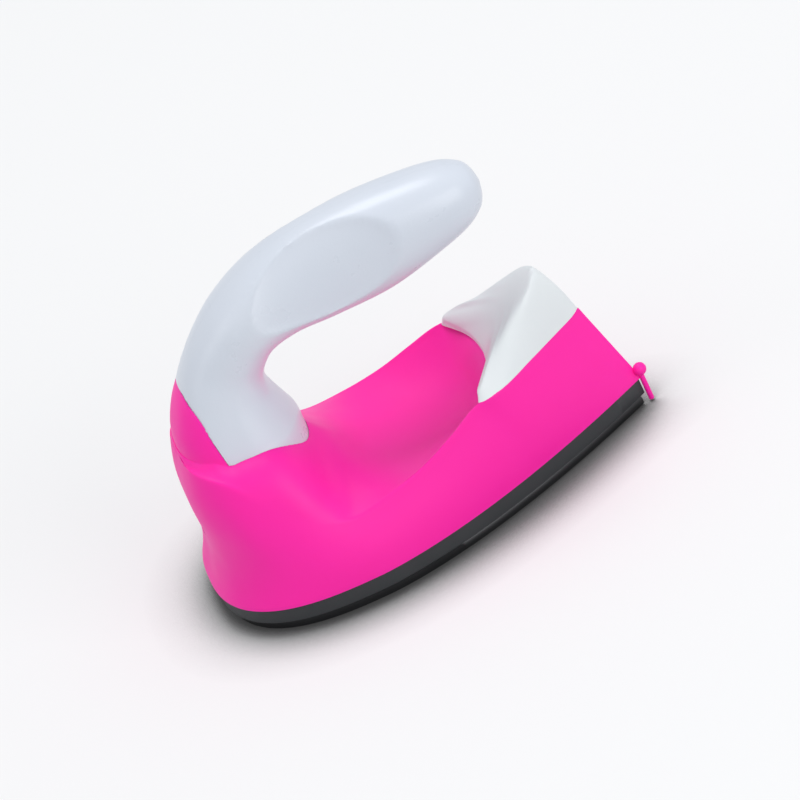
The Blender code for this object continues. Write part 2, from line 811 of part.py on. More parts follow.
def make_shield():
    shield = plate("heat_shield", outline(shield_inset), shield_bottom, shield_top)
    for x in (rear_post_x, front_post_x):
        drilled(shield, (along(x), 0.0, 0.0), (along(x), 0.0, nose_height), screw_radius + seat_gap)
    for side in (-1.0, 1.0):
        low = (along(lead_slot_start), side * lead_slot_y - lead_slot_half, shield_bottom - cut_overrun / 10.0)
        high = (along(lead_slot_end), side * lead_slot_y + lead_slot_half, shield_top + cut_overrun / 10.0)
        combine(shield, [block("slot", low, high)], "DIFFERENCE")
    keep(shield, steel)


lead_slot_start = 0.0265
lead_slot_end = 0.0345
lead_slot_y = 0.0120
lead_slot_half = 0.0025
hook_leg_radius = 0.0006
hook_bead_radius = 0.0015
hook_height = 0.0086
hook_leg_bottom = 0.0006


def make_body():
    solid = body_form("solid", wall / 2.0)
    shell = combine(body_form("body_shell"), [body_form("hollow", wall)], "DIFFERENCE")
    flat_below(shell, foot_height)
    shelf = block("shelf", (along(shelf_start), -half_width, shelf_bottom),
                  (along(shelf_end), half_width, shelf_top))
    fillers = [combine(shelf, [copy_of(solid)], "INTERSECT")]
    for x, top in ((rear_post_x, shelf_bottom + wall / 2.0), (front_post_x, deck_height - seat_gap)):
        post = rod("boss", (along(x), 0.0, boss_bottom), (along(x), 0.0, top), post_radius + wall / 2.0)
        fillers.append(combine(post, [copy_of(solid)], "INTERSECT"))
    bpy.data.objects.remove(solid, do_unlink=True)
    fillers.append(upstand())
    leg_x = along(body_length - ring_inset + hook_leg_radius + seat_gap)
    leg = rod("leg", (leg_x, 0.0, hook_leg_bottom), (leg_x, 0.0, hook_height), hook_leg_radius, 10)
    bpy.ops.mesh.primitive_uv_sphere_add(segments=14, ring_count=10, radius=hook_bead_radius)
    bead = bpy.context.object
    bead.data.transform(Matrix.Translation((along(overall_length - hook_bead_radius), 0.0, hook_height)))
    fillers = fillers + [leg, bead]
    for filler in fillers:
        combine(shell, [filler], "UNION")
    ring = [(max(x, along(split_foot_x) - seat_gap), y) for x, y, z in neck_section(*neck_shares[0])]
    middle_x = along((split_foot_x + neck_shares[0][2] * body_length) / 2.0)
    grown = 1.0 + seat_gap / half_width * 2.0
    hole = []
    for x, y in ring:
        hole.append((middle_x + (x - middle_x) * grown, y * grown))
    bottom = shelf_top
    cutter = loft("neck_hole", [[(x, y, bottom) for x, y in hole],
                                [(x, y, shoulder_height + cut_overrun) for x, y in hole]])
    combine(shell, [cutter], "DIFFERENCE")
    for side in (-1.0, 1.0):
        drilled(shell, (along(foot_screw_x), side * foot_screw_y, shelf_bottom - cut_overrun / 10.0),
                (along(foot_screw_x), side * foot_screw_y, shelf_top + cut_overrun / 10.0),
                screw_radius + seat_gap)
    for x in (rear_post_x, front_post_x):
        drilled(shell, (along(x), 0.0, boss_bottom - cut_overrun),
                (along(x), 0.0, body_screw_seat + cut_overrun / 10.0), screw_radius + seat_gap)
        drilled(shell, (along(x), 0.0, body_screw_seat), (along(x), 0.0, nose_height + cut_overrun),
                screw_head_radius + seat_gap)
    drilled(shell, (along(nose_screw_x), 0.0, deck_height - wall * crest_inset_share - cut_overrun / 10.0),
            (along(nose_screw_x), 0.0, deck_height + cut_overrun / 10.0), screw_radius + seat_gap)
    drilled(shell, (along(-cut_overrun), 0.0, inlet_height), (along(cut_overrun), 0.0, inlet_height),
            inlet_radius + seat_gap)
    keep(shell, pink)


body_screw_seat = 0.0185


def make_body_screws():
    for name, x in (("body_screw_rear", rear_post_x), ("body_screw_front", front_post_x)):
        keep(screw(name, (along(x), 0.0, body_screw_seat + seat_gap + screw_head_height),
                   (along(x), 0.0, post_top - pilot_depth + seat_gap)), steel)
    for name, side in (("foot_screw_left", 1.0), ("foot_screw_right", -1.0)):
        x = along(foot_screw_x)
        y = side * foot_screw_y
        keep(screw(name, (x, y, shelf_bottom - seat_gap - screw_head_height),
                   (x, y, foot_bottom + pilot_depth - seat_gap)), steel)
    x = along(nose_screw_x)
    low = deck_height - wall * crest_inset_share - seat_gap - screw_head_height
    keep(screw("nose_screw", (x, 0.0, low), (x, 0.0, deck_height + pilot_depth - seat_gap)), steel)


# The mains side: bush, cord clamp and terminal block stand on the shield, under the neck
block_base_start = 0.0104
block_base_end = 0.0245
block_half_width = 0.0092
block_base_top = 0.0170
barrier_start = 0.0170
barrier_half_width = 0.0080
barrier_top = 0.0228
saddle_end = 0.0152
saddle_half_width = 0.0030
saddle_top = 0.0185
clamp_post_y = 0.0063
clamp_post_radius = 0.0021
clamp_post_top = 0.0230
clamp_bar_height = 0.0016
clamp_bar_half_width = 0.0088
terminal_screw_x = 0.0205
terminal_screw_y = 0.0045
terminal_pilot_depth = 0.0045
bush_start = 0.0025
bush_end = 0.0080
bush_flange_start = 0.0060
bush_bore_radius = 0.0024


def make_terminals():
    base = block("terminal_block", (along(block_base_start), -block_half_width, boss_bottom),
                 (along(block_base_end), block_half_width, block_base_top))
    inner_end = along(block_base_end - seat_gap)
    barrier = block("barrier", (along(barrier_start), -barrier_half_width, block_base_top - seat_gap),
                    (inner_end, barrier_half_width, barrier_top))
    inner_start = along(block_base_start + seat_gap)
    saddle = block("saddle", (inner_start, -saddle_half_width, block_base_top - seat_gap),
                   (along(saddle_end), saddle_half_width, saddle_top))
    pieces = [barrier, saddle]
    bar_x = (block_base_start + saddle_end) / 2.0
    for side in (-1.0, 1.0):
        pieces.append(rod("post", (along(bar_x), side * clamp_post_y, block_base_top - seat_gap),
                          (along(bar_x), side * clamp_post_y, clamp_post_top), clamp_post_radius))
    combine(base, pieces, "UNION")
    bar_low = clamp_post_top + seat_gap
    bar_high = bar_low + clamp_bar_height
    bar = block("cord_clamp", (along(block_base_start), -clamp_bar_half_width, bar_low),
                (along(saddle_end), clamp_bar_half_width, bar_high))
    for number, side in enumerate((-1.0, 1.0), 1):
        y = side * clamp_post_y
        drilled(bar, (along(bar_x), y, bar_low - cut_overrun), (along(bar_x), y, bar_high + cut_overrun),
                screw_radius + seat_gap)
        drilled(base, (along(bar_x), y, clamp_post_top - terminal_pilot_depth),
                (along(bar_x), y, clamp_post_top + cut_overrun), screw_radius + seat_gap)
        keep(screw(f"cord_clamp_screw_{number}", (along(bar_x), y, bar_high + seat_gap + screw_head_height),
                   (along(bar_x), y, clamp_post_top - terminal_pilot_depth + seat_gap)), steel)
        x = along(terminal_screw_x)
        y = side * terminal_screw_y
        drilled(base, (x, y, barrier_top - terminal_pilot_depth), (x, y, barrier_top + cut_overrun),
                screw_radius + seat_gap)
        keep(screw(f"terminal_screw_{number}", (x, y, barrier_top + seat_gap + screw_head_height),
                   (x, y, barrier_top - terminal_pilot_depth + seat_gap)), brass)
    keep(bar, steel)
    keep(base, ceramic)
    bush = rod("inlet_bush", (along(bush_start), 0.0, inlet_height), (along(bush_end), 0.0, inlet_height),
               inlet_radius, 24)
    flange = rod("flange", (along(bush_flange_start), 0.0, inlet_height),
                 (along(bush_flange_start + inlet_flange), 0.0, inlet_height), inlet_flange_radius, 24)
    combine(bush, [flange], "UNION")
    drilled(bush, (along(-cut_overrun), 0.0, inlet_height), (along(cut_overrun * 2.0), 0.0, inlet_height),
            bush_bore_radius)
    keep(bush, rubber)


# The thermal fuse in its sleeve lies in a clip on the sole, beside the heater
fuse_y = 0.0128
fuse_height = 0.0085
fuse_radius = 0.0016
fuse_start = 0.0370
fuse_end = 0.0470
sleeve_start = 0.0350
sleeve_end = 0.0490
sleeve_inner_radius = 0.0019
sleeve_outer_radius = 0.0024
clip_start = 0.0400
clip_end = 0.0440
clip_wall = 0.0006
sole_floor = ring_bottom + seat_gap


def make_fuse():
    keep(rod("thermal_fuse", (along(fuse_start), fuse_y, fuse_height), (along(fuse_end), fuse_y, fuse_height),
             fuse_radius, 14), steel)
    sleeve = rod("fuse_sleeve", (along(sleeve_start), fuse_y, fuse_height),
                 (along(sleeve_end), fuse_y, fuse_height), sleeve_outer_radius, 18)
    drilled(sleeve, (along(sleeve_start - cut_overrun), fuse_y, fuse_height),
            (along(sleeve_end + cut_overrun), fuse_y, fuse_height), sleeve_inner_radius)
    keep(sleeve, glass_sleeve)
    room = sleeve_outer_radius + seat_gap
    outer = room + clip_wall
    clip = block("fuse_clip", (along(clip_start), fuse_y - outer, sole_floor + seat_gap),
                 (along(clip_end), fuse_y + outer, fuse_height + sleeve_outer_radius / 2.0))
    slot = block("slot", (along(clip_start - clip_wall), fuse_y - room, fuse_height - room),
                 (along(clip_end + clip_wall), fuse_y + room, fuse_height + room))
    combine(clip, [slot], "DIFFERENCE")
    keep(clip, steel)


# The thermal cut-out: a bimetal blade on a pin, which closes on a contact and lifts when it is hot
pivot_x = 0.0150
pivot_height = 0.0110
pin_radius = 0.0006
case_start = 0.0125
case_end = 0.0175
case_top = 0.0080
ear_top = 0.0124
ear_inner = 0.0026
contact_start = 0.0218
contact_end = 0.0248
contact_half_width = 0.0022
contact_button_radius = 0.0011
blade_thickness = 0.0005
blade_half_width = 0.0018
blade_end = 0.0250


def make_cutout():
    seat = sole_thickness + heater_pad_height + seat_gap
    case = block("cutout_case", (along(case_start), -cutout_half_width, seat),
                 (along(case_end), cutout_half_width, case_top))
    ears = []
    for side in (-1.0, 1.0):
        inner, outer = sorted((side * ear_inner, side * (cutout_half_width - seat_gap)))
        ears.append(block("ear", (along(case_start + seat_gap), inner, case_top - seat_gap),
                          (along(case_end - seat_gap), outer, ear_top)))
    combine(case, ears, "UNION")
    x = along(pivot_x)
    drilled(case, (x, -body_width, pivot_height), (x, body_width, pivot_height), pin_radius + seat_gap)
    keep(case, ceramic)
    low = pivot_height - blade_thickness / 2.0
    blade = block("cutout_blade", (x, -blade_half_width, low),
                  (along(blade_end), blade_half_width, low + blade_thickness))
    pin_reach = cutout_half_width - seat_gap
    combine(blade, [rod("pin", (x, -pin_reach, pivot_height), (x, pin_reach, pivot_height), pin_radius, 12)],
            "UNION")
    blade.data.transform(Matrix.Translation((-x, 0.0, -pivot_height)))
    blade.location = (x, 0.0, pivot_height)
    keep(blade, brass)
    middle = (along(contact_start) + along(contact_end)) / 2.0
    post_height = low - seat_gap - contact_button_radius / 2.0
    contact = block("cutout_contact", (along(contact_start), -contact_half_width, seat),
                    (along(contact_end), contact_half_width, post_height))
    button = rod("button", (middle, 0.0, post_height - seat_gap), (middle, 0.0, low - seat_gap),
                 contact_button_radius, 14)
    combine(contact, [button], "UNION")
    keep(contact, brass)


# The leads inside, each from one terminal to the next
lead_radius = 0.0008
lead_points = {
    "wire_live": ((0.0249, 0.0060, 0.0195), (0.0270, 0.0085, 0.0195), (0.0302, 0.0116, 0.0180),
                  (0.0305, 0.0120, 0.0144), (0.0305, 0.0122, 0.0108), (0.0318, 0.0126, 0.0088),
                  (0.0346, 0.0128, 0.0085)),
    "wire_heater": ((0.0494, 0.0128, 0.0085), (0.0530, 0.0128, 0.0085), (0.0580, 0.0122, 0.0080),
                    (0.0610, 0.0104, 0.0072), (0.0620, 0.0079, 0.0070)),
    "wire_neutral": ((0.0249, -0.0060, 0.0195), (0.0270, -0.0085, 0.0195), (0.0302, -0.0116, 0.0180),
                     (0.0305, -0.0120, 0.0144), (0.0303, -0.0118, 0.0112), (0.0280, -0.0098, 0.0092),
                     (0.0250, -0.0058, 0.0082), (0.0233, -0.0027, 0.0080)),
    "wire_return": ((0.0150, -0.0049, 0.0068), (0.0165, -0.0085, 0.0066), (0.0240, -0.0128, 0.0064),
                    (0.0340, -0.0138, 0.0064), (0.0430, -0.0125, 0.0066), (0.0490, -0.0102, 0.0070),
                    (0.0505, -0.0079, 0.0070)),
}
lead_finish = {"wire_live": brown_wire, "wire_heater": brown_wire, "wire_neutral": blue_wire,
               "wire_return": blue_wire}


def make_leads():
    for name, route in lead_points.items():
        keep(wire(name, [(along(x), y, z) for x, y, z in route], lead_radius), lead_finish[name])


def main():
    clear_scene()
    make_sole()
    make_heater()
    make_shield()
    make_body()
    make_body_screws()
    make_nose_cover()
    make_handle()
    make_terminals()
    make_fuse()
    make_cutout()
    make_leads()


main()
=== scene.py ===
import math

import bmesh
import bpy
from mathutils import Matrix, Vector
from mathutils.bvhtree import BVHTree


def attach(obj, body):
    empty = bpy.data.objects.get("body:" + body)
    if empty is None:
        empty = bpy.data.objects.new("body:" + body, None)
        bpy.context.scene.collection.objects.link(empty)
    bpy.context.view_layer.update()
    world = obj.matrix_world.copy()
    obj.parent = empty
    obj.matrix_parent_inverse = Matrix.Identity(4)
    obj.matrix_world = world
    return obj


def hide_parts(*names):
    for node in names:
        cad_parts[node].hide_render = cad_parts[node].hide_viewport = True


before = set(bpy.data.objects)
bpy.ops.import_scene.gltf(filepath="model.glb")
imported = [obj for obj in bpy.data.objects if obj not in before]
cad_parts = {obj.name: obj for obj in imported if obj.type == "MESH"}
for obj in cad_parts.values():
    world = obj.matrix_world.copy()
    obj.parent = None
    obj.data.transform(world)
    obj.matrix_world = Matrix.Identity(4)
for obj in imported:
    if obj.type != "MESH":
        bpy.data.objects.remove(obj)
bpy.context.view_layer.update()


# The handle is one C-shaped grip of white ABS, moulded as a left and a right half that are screwed together.
# It rises from the heel, narrows to a neck, curves over into a thick grip and ends in a free rounded tip.
# A thumb scoop is pressed into both flanks of the grip.
overall_length = 0.105
handle_height = 0.0792
grip_depth = 0.0234
foot_bottom = 0.0298
neck_top = 0.0539
split_foot_x = 0.0146
split_top_x = 0.0117
split_foot_height = 0.0375
handle_steps = 10
handle_turns = 144
round_sides = 48
crisp_angle = 35.0
half_line = 0.00001
hairline = 0.0003
overrun = 0.0100
weld_distance = 0.000002
handle_wall = 0.0022
least_ring_share = 1.6
# Rings from the foot to the free tip: place and height as shares of the whole length and height, half depth
# and half width as shares of the grip's depth, heading in degrees, and how square the upper side is.
handle_rings = (
    (0.1815, 0.3763, 0.605, 0.615, 90.0, 2.80),
    (0.1815, 0.460, 0.605, 0.615, 90.0, 2.80),
    (0.1800, 0.500, 0.580, 0.588, 88.0, 2.75),
    (0.1830, 0.561, 0.504, 0.530, 84.0, 2.65),
    (0.1942, 0.628, 0.428, 0.462, 72.0, 2.45),
    (0.2126, 0.685, 0.381, 0.418, 60.0, 2.25),
    (0.2448, 0.739, 0.362, 0.424, 46.0, 2.15),
    (0.2906, 0.788, 0.366, 0.446, 32.0, 2.15),
    (0.3660, 0.827, 0.420, 0.450, 14.0, 2.15),
    (0.4620, 0.843, 0.487, 0.446, 5.0, 2.15),
    (0.5900, 0.851, 0.500, 0.440, 4.0, 2.15),
    (0.7080, 0.866, 0.424, 0.402, 6.0, 2.15),
    (0.7840, 0.874, 0.342, 0.346, 4.0, 2.15),
    (0.8260, 0.877, 0.240, 0.250, 1.0, 2.15),
    (0.8425, 0.878, 0.138, 0.143, 0.0, 2.15),
    (0.8490, 0.878, 0.012, 0.012, 0.0, 2.15),
)
underside_power = 2.05
scoop_x = 0.0499
scoop_reach = 0.0178
scoop_turn = 73.0
scoop_turn_reach = 54.0
scoop_depth = 0.0031
scoop_power = 0.72


def along(distance):
    """World X of a place measured forward from the heel."""
    return distance - overall_length / 2.0


def smooth_rows(rows, steps):
    """Rows read from a smooth curve through the given rows."""
    made = []
    last = len(rows) - 1
    for index in range(last):
        before = rows[max(index - 1, 0)]
        here = rows[index]
        there = rows[index + 1]
        after = rows[min(index + 2, last)]
        for step in range(steps):
            t = step / steps
            made.append(tuple(
                0.5 * (2.0 * b + (c - a) * t + (2.0 * a - 5.0 * b + 4.0 * c - d) * t * t
                       + (3.0 * b - a - 3.0 * c + d) * t * t * t)
                for a, b, c, d in zip(before, here, there, after)))
    made.append(tuple(rows[last]))
    return made


def tidy_mesh(mesh, distance=weld_distance):
    """Merge points that lie together, and turn every face outwards."""
    clean = bmesh.new()
    clean.from_mesh(mesh)
    bmesh.ops.remove_doubles(clean, verts=clean.verts, dist=distance)
    bmesh.ops.dissolve_degenerate(clean, edges=clean.edges, dist=distance)
    bmesh.ops.recalc_face_normals(clean, faces=clean.faces)
    clean.to_mesh(mesh)
    clean.free()


def loft(name, loops, capped=True):
    """A solid through closed loops of equal count, with flat ends or joined round on itself."""
    count = len(loops[0])
    rows = len(loops)
    faces = []
    for row in range(rows - 1 if capped else rows):
        after = (row + 1) % rows
        for side in range(count):
            beside = (side + 1) % count
            faces.append((row * count + side, row * count + beside,
                          after * count + beside, after * count + side))
    if capped:
        faces.append(tuple(reversed(range(count))))
        faces.append(tuple(range((rows - 1) * count, rows * count)))
    mesh = bpy.data.meshes.new(name)
    mesh.from_pydata([tuple(point) for loop in loops for point in loop], [], faces)
    tidy_mesh(mesh)
    made = bpy.data.objects.new(name, mesh)
    bpy.context.scene.collection.objects.link(made)
    return made


def box_solid(name, low, high):
    """A plain block between two opposite corners."""
    corners = [(low[0], low[1]), (high[0], low[1]), (high[0], high[1]), (low[0], high[1])]
    return loft(name, [[(x, y, low[2]) for x, y in corners], [(x, y, high[2]) for x, y in corners]])


def apply_modifiers(thing):
    """Turn what the modifiers make into the piece's own mesh."""
    graph = bpy.context.evaluated_depsgraph_get()
    fixed = bpy.data.meshes.new_from_object(thing.evaluated_get(graph))
    thing.modifiers.clear()
    thing.data = fixed
    return thing


def combine(thing, other, operation):
    """Join or cut a solid with another one, which is used up."""
    step = thing.modifiers.new("combine", "BOOLEAN")
    step.operation = operation
    step.solver = "EXACT"
    step.object = other
    apply_modifiers(thing)
    bpy.data.objects.remove(other, do_unlink=True)
    tidy_mesh(thing.data)
    return thing


def shaded(thing, angle=crisp_angle):
    """Smooth shading with the edges sharper than an angle kept crisp."""
    thing.data.shade_smooth()
    thing.data.set_sharp_from_angle(angle=math.radians(angle))
    return thing


def split_x(height):
    """World X of the seam between the pointed upstand and the handle at a height."""
    rise = (height - split_foot_height) / (neck_top - split_foot_height)
    return along(split_foot_x + (split_top_x - split_foot_x) * rise)


def scoop(x, angle):
    """How deep the thumb scoop is at a place, as a share of its depth."""
    from_top = math.degrees(math.acos(math.cos(angle)))
    across = (x - along(scoop_x)) / scoop_reach
    down = (from_top - scoop_turn) / scoop_turn_reach
    return max(0.0, 1.0 - across * across - down * down) ** scoop_power


def handle_loop(ring, grown):
    """One closed ring of the handle, made larger all round by an amount."""
    x_share, z_share, depth_share, width_share, heading, power = ring
    centre_x = along(x_share * overall_length)
    centre_z = z_share * handle_height
    depth = depth_share * grip_depth + grown
    width = width_share * grip_depth + grown
    turn = math.radians(heading)
    points = []
    for step in range(handle_turns):
        angle = 2.0 * math.pi * step / handle_turns
        c = math.cos(angle)
        s = math.sin(angle)
        bulge = power if c > 0.0 else underside_power
        across = depth * math.copysign(abs(c) ** (2.0 / bulge), c)
        out = width * math.copysign(abs(s) ** (2.0 / bulge), s)
        inward = 1.0 - scoop_depth * scoop(centre_x - across * math.sin(turn), angle) / width
        x = centre_x - across * inward * math.sin(turn)
        z = centre_z + across * inward * math.cos(turn)
        # Beside the upstand the rear of the handle is cut back to the seam between them.
        if z < neck_top:
            x = max(x, split_x(max(z, split_foot_height)) - grown)
        points.append((x, out * inward, z))
    return points


def handle_solid(name, grown=0.0):
    """The whole handle as a solid; if it is made smaller, its foot is drawn out to leave an open end."""
    rings = [ring for ring in smooth_rows(handle_rings, handle_steps)
             if ring[2] * grip_depth > -grown * least_ring_share]
    loops = [handle_loop(ring, grown) for ring in rings]
    if grown < 0.0:
        loops.insert(0, [(x, y, z + grown) for x, y, z in loops[0]])
    return loft(name, loops)


def copy_of(thing, name):
    """A second solid of the same form, to be used up by a cut."""
    made = thing.copy()
    made.data = thing.data.copy()
    made.name = name
    bpy.context.scene.collection.objects.link(made)
    return made


def turned(name, start, direction, profile, sides=round_sides, capped=True):
    """A solid of revolution from (distance, radius) pairs along a line, or a tube if it isn't capped."""
    start = Vector(start)
    line = Vector(direction).normalized()
    across = line.orthogonal().normalized()
    beside = line.cross(across)
    loops = []
    for step, radius in profile:
        loops.append([start + line * step + across * radius * math.cos(2.0 * math.pi * side / sides)
                      + beside * radius * math.sin(2.0 * math.pi * side / sides)
                      for side in range(sides)])
    return loft(name, loops, capped)


def bar(name, start, end, radius, sides=round_sides):
    """A round bar between two points."""
    line = Vector(end) - Vector(start)
    return turned(name, start, line, ((0.0, radius), (line.length, radius)), sides)


def bored(thing, start, end, radius):
    """Drill a round hole through a solid between two points."""
    return combine(thing, bar("drill", start, end, radius), "DIFFERENCE")


handle_screw_shares = ((0.235, 0.735), (0.462, 0.843), (0.700, 0.865))
boss_radius = 0.0030
screw_radius = 0.0012
screw_head_radius = 0.0023
screw_head_height = 0.0014
screw_recess = 0.0030
pilot_depth = 0.0060
foot_block_start = 0.0170
foot_block_end = 0.0300
foot_block_height = 0.0070
foot_screw_x = 0.0220
foot_screw_y = 0.0060


def handle_half(name, side):
    """One moulded half: a thin wall on one side of the middle plane, with screw bosses and a foot block."""
    half = combine(copy_of(whole_handle, name), copy_of(handle_hollow, "hollow"), "DIFFERENCE")
    span = sorted((side * half_line, -side * overall_length))
    combine(half, box_solid("other_half", (-overall_length, span[0], -overall_length),
                            (overall_length, span[1], overall_length)), "DIFFERENCE")
    fillers = []
    for x_share, z_share in handle_screw_shares:
        x = along(x_share * overall_length)
        z = z_share * handle_height
        fillers.append(bar("boss", (x, side * half_line, z), (x, side * grip_depth, z), boss_radius))
    span = sorted((side * half_line, side * grip_depth))
    fillers.append(box_solid("foot_block", (along(foot_block_start), span[0], foot_bottom + hairline),
                             (along(foot_block_end), span[1], foot_bottom + foot_block_height)))
    for filler in fillers:
        combine(half, combine(filler, copy_of(handle_core, "core"), "INTERSECT"), "UNION")
    for x_share, z_share in handle_screw_shares:
        x = along(x_share * overall_length)
        z = z_share * handle_height
        bored(half, (x, -pilot_depth, z), (x, grip_depth, z), screw_radius + hairline)
        if side > 0.0:
            bored(half, (x, screw_recess + screw_head_height, z), (x, grip_depth, z),
                  screw_head_radius + hairline)
    foot = (along(foot_screw_x), side * foot_screw_y)
    return bored(half, (*foot, foot_bottom - overrun), (*foot, foot_bottom + pilot_depth),
                 screw_radius + hairline)


tint_detail = 3.0
gloss_detail = 4.0
grain_detail = 2.0
grain_strength = 0.6
bleed_colours = (1.0, 0.9, 0.8)
bleed_depth = 0.001


def effect_group(name, inputs):
    """A node group on Object coordinates, with float inputs, for a tint, a gloss and a normal."""
    group = bpy.data.node_groups.new(name, "ShaderNodeTree")
    for label in inputs:
        group.interface.new_socket(label, in_out="INPUT", socket_type="NodeSocketFloat")
    for label in ("Tint", "Gloss"):
        group.interface.new_socket(label, in_out="OUTPUT", socket_type="NodeSocketFloat")
    group.interface.new_socket("Normal", in_out="OUTPUT", socket_type="NodeSocketVector")
    given = group.nodes.new("NodeGroupInput")
    place = group.nodes.new("ShaderNodeTexCoord")
    out = group.nodes.new("NodeGroupOutput")
    return group, given, place.outputs["Object"], out


def skin_group():
    """Node group for a worked surface: a slow tint, a patchy gloss and a fine grain."""
    group, given, place, out = effect_group(
        "worked_skin", ("Tint Scale", "Gloss Scale", "Grain Scale", "Grain Depth"))
    tree = group.nodes
    wires = group.links
    for label, detail in (("Tint", tint_detail), ("Gloss", gloss_detail)):
        patch = tree.new("ShaderNodeTexNoise")
        patch.inputs["Detail"].default_value = detail
        wires.new(given.outputs[label + " Scale"], patch.inputs["Scale"])
        wires.new(place, patch.inputs["Vector"])
        wires.new(patch.outputs["Fac"], out.inputs[label])
    grain = tree.new("ShaderNodeTexNoise")
    grain.inputs["Detail"].default_value = grain_detail
    wires.new(given.outputs["Grain Scale"], grain.inputs["Scale"])
    wires.new(place, grain.inputs["Vector"])
    bump = tree.new("ShaderNodeBump")
    bump.inputs["Strength"].default_value = grain_strength
    wires.new(given.outputs["Grain Depth"], bump.inputs["Distance"])
    wires.new(grain.outputs["Fac"], bump.inputs["Height"])
    wires.new(bump.outputs["Normal"], out.inputs["Normal"])
    return group


def finish(name, group, values, colours, roughness, metallic=0.0, subsurface=0.0, specular=0.5):
    """A material whose colour and roughness run between two ends, led by a node group with given values."""
    made = bpy.data.materials.new(name)
    made.use_nodes = True
    tree = made.node_tree.nodes
    wires = made.node_tree.links
    shader = tree["Principled BSDF"]
    effect = tree.new("ShaderNodeGroup")
    effect.node_tree = group
    for socket, value in zip(effect.inputs, values):
        socket.default_value = value
    blend = tree.new("ShaderNodeMix")
    blend.data_type = "RGBA"
    blend.inputs["A"].default_value = (*colours[0], 1.0)
    blend.inputs["B"].default_value = (*colours[1], 1.0)
    wires.new(effect.outputs["Tint"], blend.inputs["Factor"])
    wires.new(blend.outputs["Result"], shader.inputs["Base Color"])
    spread = tree.new("ShaderNodeMapRange")
    spread.inputs["To Min"].default_value = roughness[0]
    spread.inputs["To Max"].default_value = roughness[1]
    wires.new(effect.outputs["Gloss"], spread.inputs["Value"])
    wires.new(spread.outputs["Result"], shader.inputs["Roughness"])
    wires.new(effect.outputs["Normal"], shader.inputs["Normal"])
    shader.inputs["Metallic"].default_value = metallic
    shader.inputs["Specular IOR Level"].default_value = specular
    if subsurface:
        shader.inputs["Subsurface Weight"].default_value = subsurface
        shader.inputs["Subsurface Radius"].default_value = bleed_colours
        shader.inputs["Subsurface Scale"].default_value = bleed_depth
    return made


# Each skin gives the scales of its tint, gloss and grain, and the depth of the grain in metres.
worked_skin = skin_group()
moulded = (45.0, 160.0, 2600.0, 0.00002)
white_abs = finish("white_abs", worked_skin, moulded,
                   ((0.595, 0.638, 0.715), (0.635, 0.672, 0.735)), (0.24, 0.34))
whole_handle = handle_solid("whole_handle")
handle_hollow = handle_solid("handle_hollow", -handle_wall)
handle_core = handle_solid("handle_core", -handle_wall / 2.0)
for side, name in ((1.0, "handle_left"), (-1.0, "handle_right")):
    half = shaded(handle_half("visual_" + name, side))
    half.data.materials.clear()
    half.data.materials.append(white_abs)
    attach(half, "iron")
    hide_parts(name)
for spare in (whole_handle, handle_hollow, handle_core):
    bpy.data.objects.remove(spare, do_unlink=True)


# Three zinc-plated pan-head screws with cross recesses hold the handle's halves together.
# They sit deep in round recesses on the far half, and each stopped at its own turn.
screw_edge = 0.0003
screw_rim = 0.0001
screw_dome = 0.0004
screw_dome_shares = ((0.0, 0.30), (0.25, 0.62))
screw_tip_shares = (0.7, 0.1)
cross_width = 0.0005
cross_reach = 0.0014
cross_depth = 0.0008
thread_pitch = 0.0005
thread_depth = 0.00012
shank_length = 0.0118
screw_turn_seed = 3

profile = [(screw_dome * down, screw_head_radius * out) for down, out in screw_dome_shares]
profile += [(screw_dome, screw_head_radius - screw_edge), (screw_dome + screw_edge, screw_head_radius),
            (screw_head_height - screw_rim, screw_head_radius),
            (screw_head_height, screw_head_radius - screw_rim), (screw_head_height, screw_radius)]
place_along = screw_head_height + thread_pitch
while place_along < shank_length - 2.0 * thread_pitch:
    profile += [(place_along, screw_radius), (place_along + thread_pitch / 2.0, screw_radius - thread_depth)]
    place_along += thread_pitch
profile += [(shank_length - thread_pitch, screw_radius * screw_tip_shares[0]),
            (shank_length, screw_radius * screw_tip_shares[1])]
one_screw = turned("one_screw", (0.0, 0.0, 0.0), (0.0, -1.0, 0.0), profile)
for long_way in (0, 2):
    low = [-cross_width / 2.0, -cross_depth, -cross_width / 2.0]
    high = [cross_width / 2.0, overrun, cross_width / 2.0]
    low[long_way] = -cross_reach
    high[long_way] = cross_reach
    combine(one_screw, box_solid("cross", low, high), "DIFFERENCE")
shaded(one_screw)
plated = (500.0, 1100.0, 9000.0, 0.000004)
zinc_steel = finish("zinc_steel", worked_skin, plated,
                    ((0.52, 0.52, 0.53), (0.66, 0.66, 0.68)), (0.20, 0.40), metallic=1.0)

# The row puts the one screw on each place that it is given, turned at random about the screw's own line.
row = bpy.data.node_groups.new("screw_row", "GeometryNodeTree")
row.interface.new_socket("Geometry", in_out="INPUT", socket_type="NodeSocketGeometry")
row_inputs = {}
for label, kind in (("Screw", "Object"), ("Most Turn", "Float"), ("Seed", "Int"), ("Finish", "Material")):
    row_inputs[label] = row.interface.new_socket(
        label, in_out="INPUT", socket_type="NodeSocket" + kind).identifier
row.interface.new_socket("Geometry", in_out="OUTPUT", socket_type="NodeSocketGeometry")
given = row.nodes.new("NodeGroupInput")
screw_shape = row.nodes.new("GeometryNodeObjectInfo")
turn = row.nodes.new("FunctionNodeRandomValue")
about_axis = row.nodes.new("ShaderNodeCombineXYZ")
placed = row.nodes.new("GeometryNodeInstanceOnPoints")
real = row.nodes.new("GeometryNodeRealizeInstances")
painted = row.nodes.new("GeometryNodeSetMaterial")
result = row.nodes.new("NodeGroupOutput")
turn.data_type = "FLOAT"
turn_value = [socket for socket in turn.outputs if socket.enabled][0]
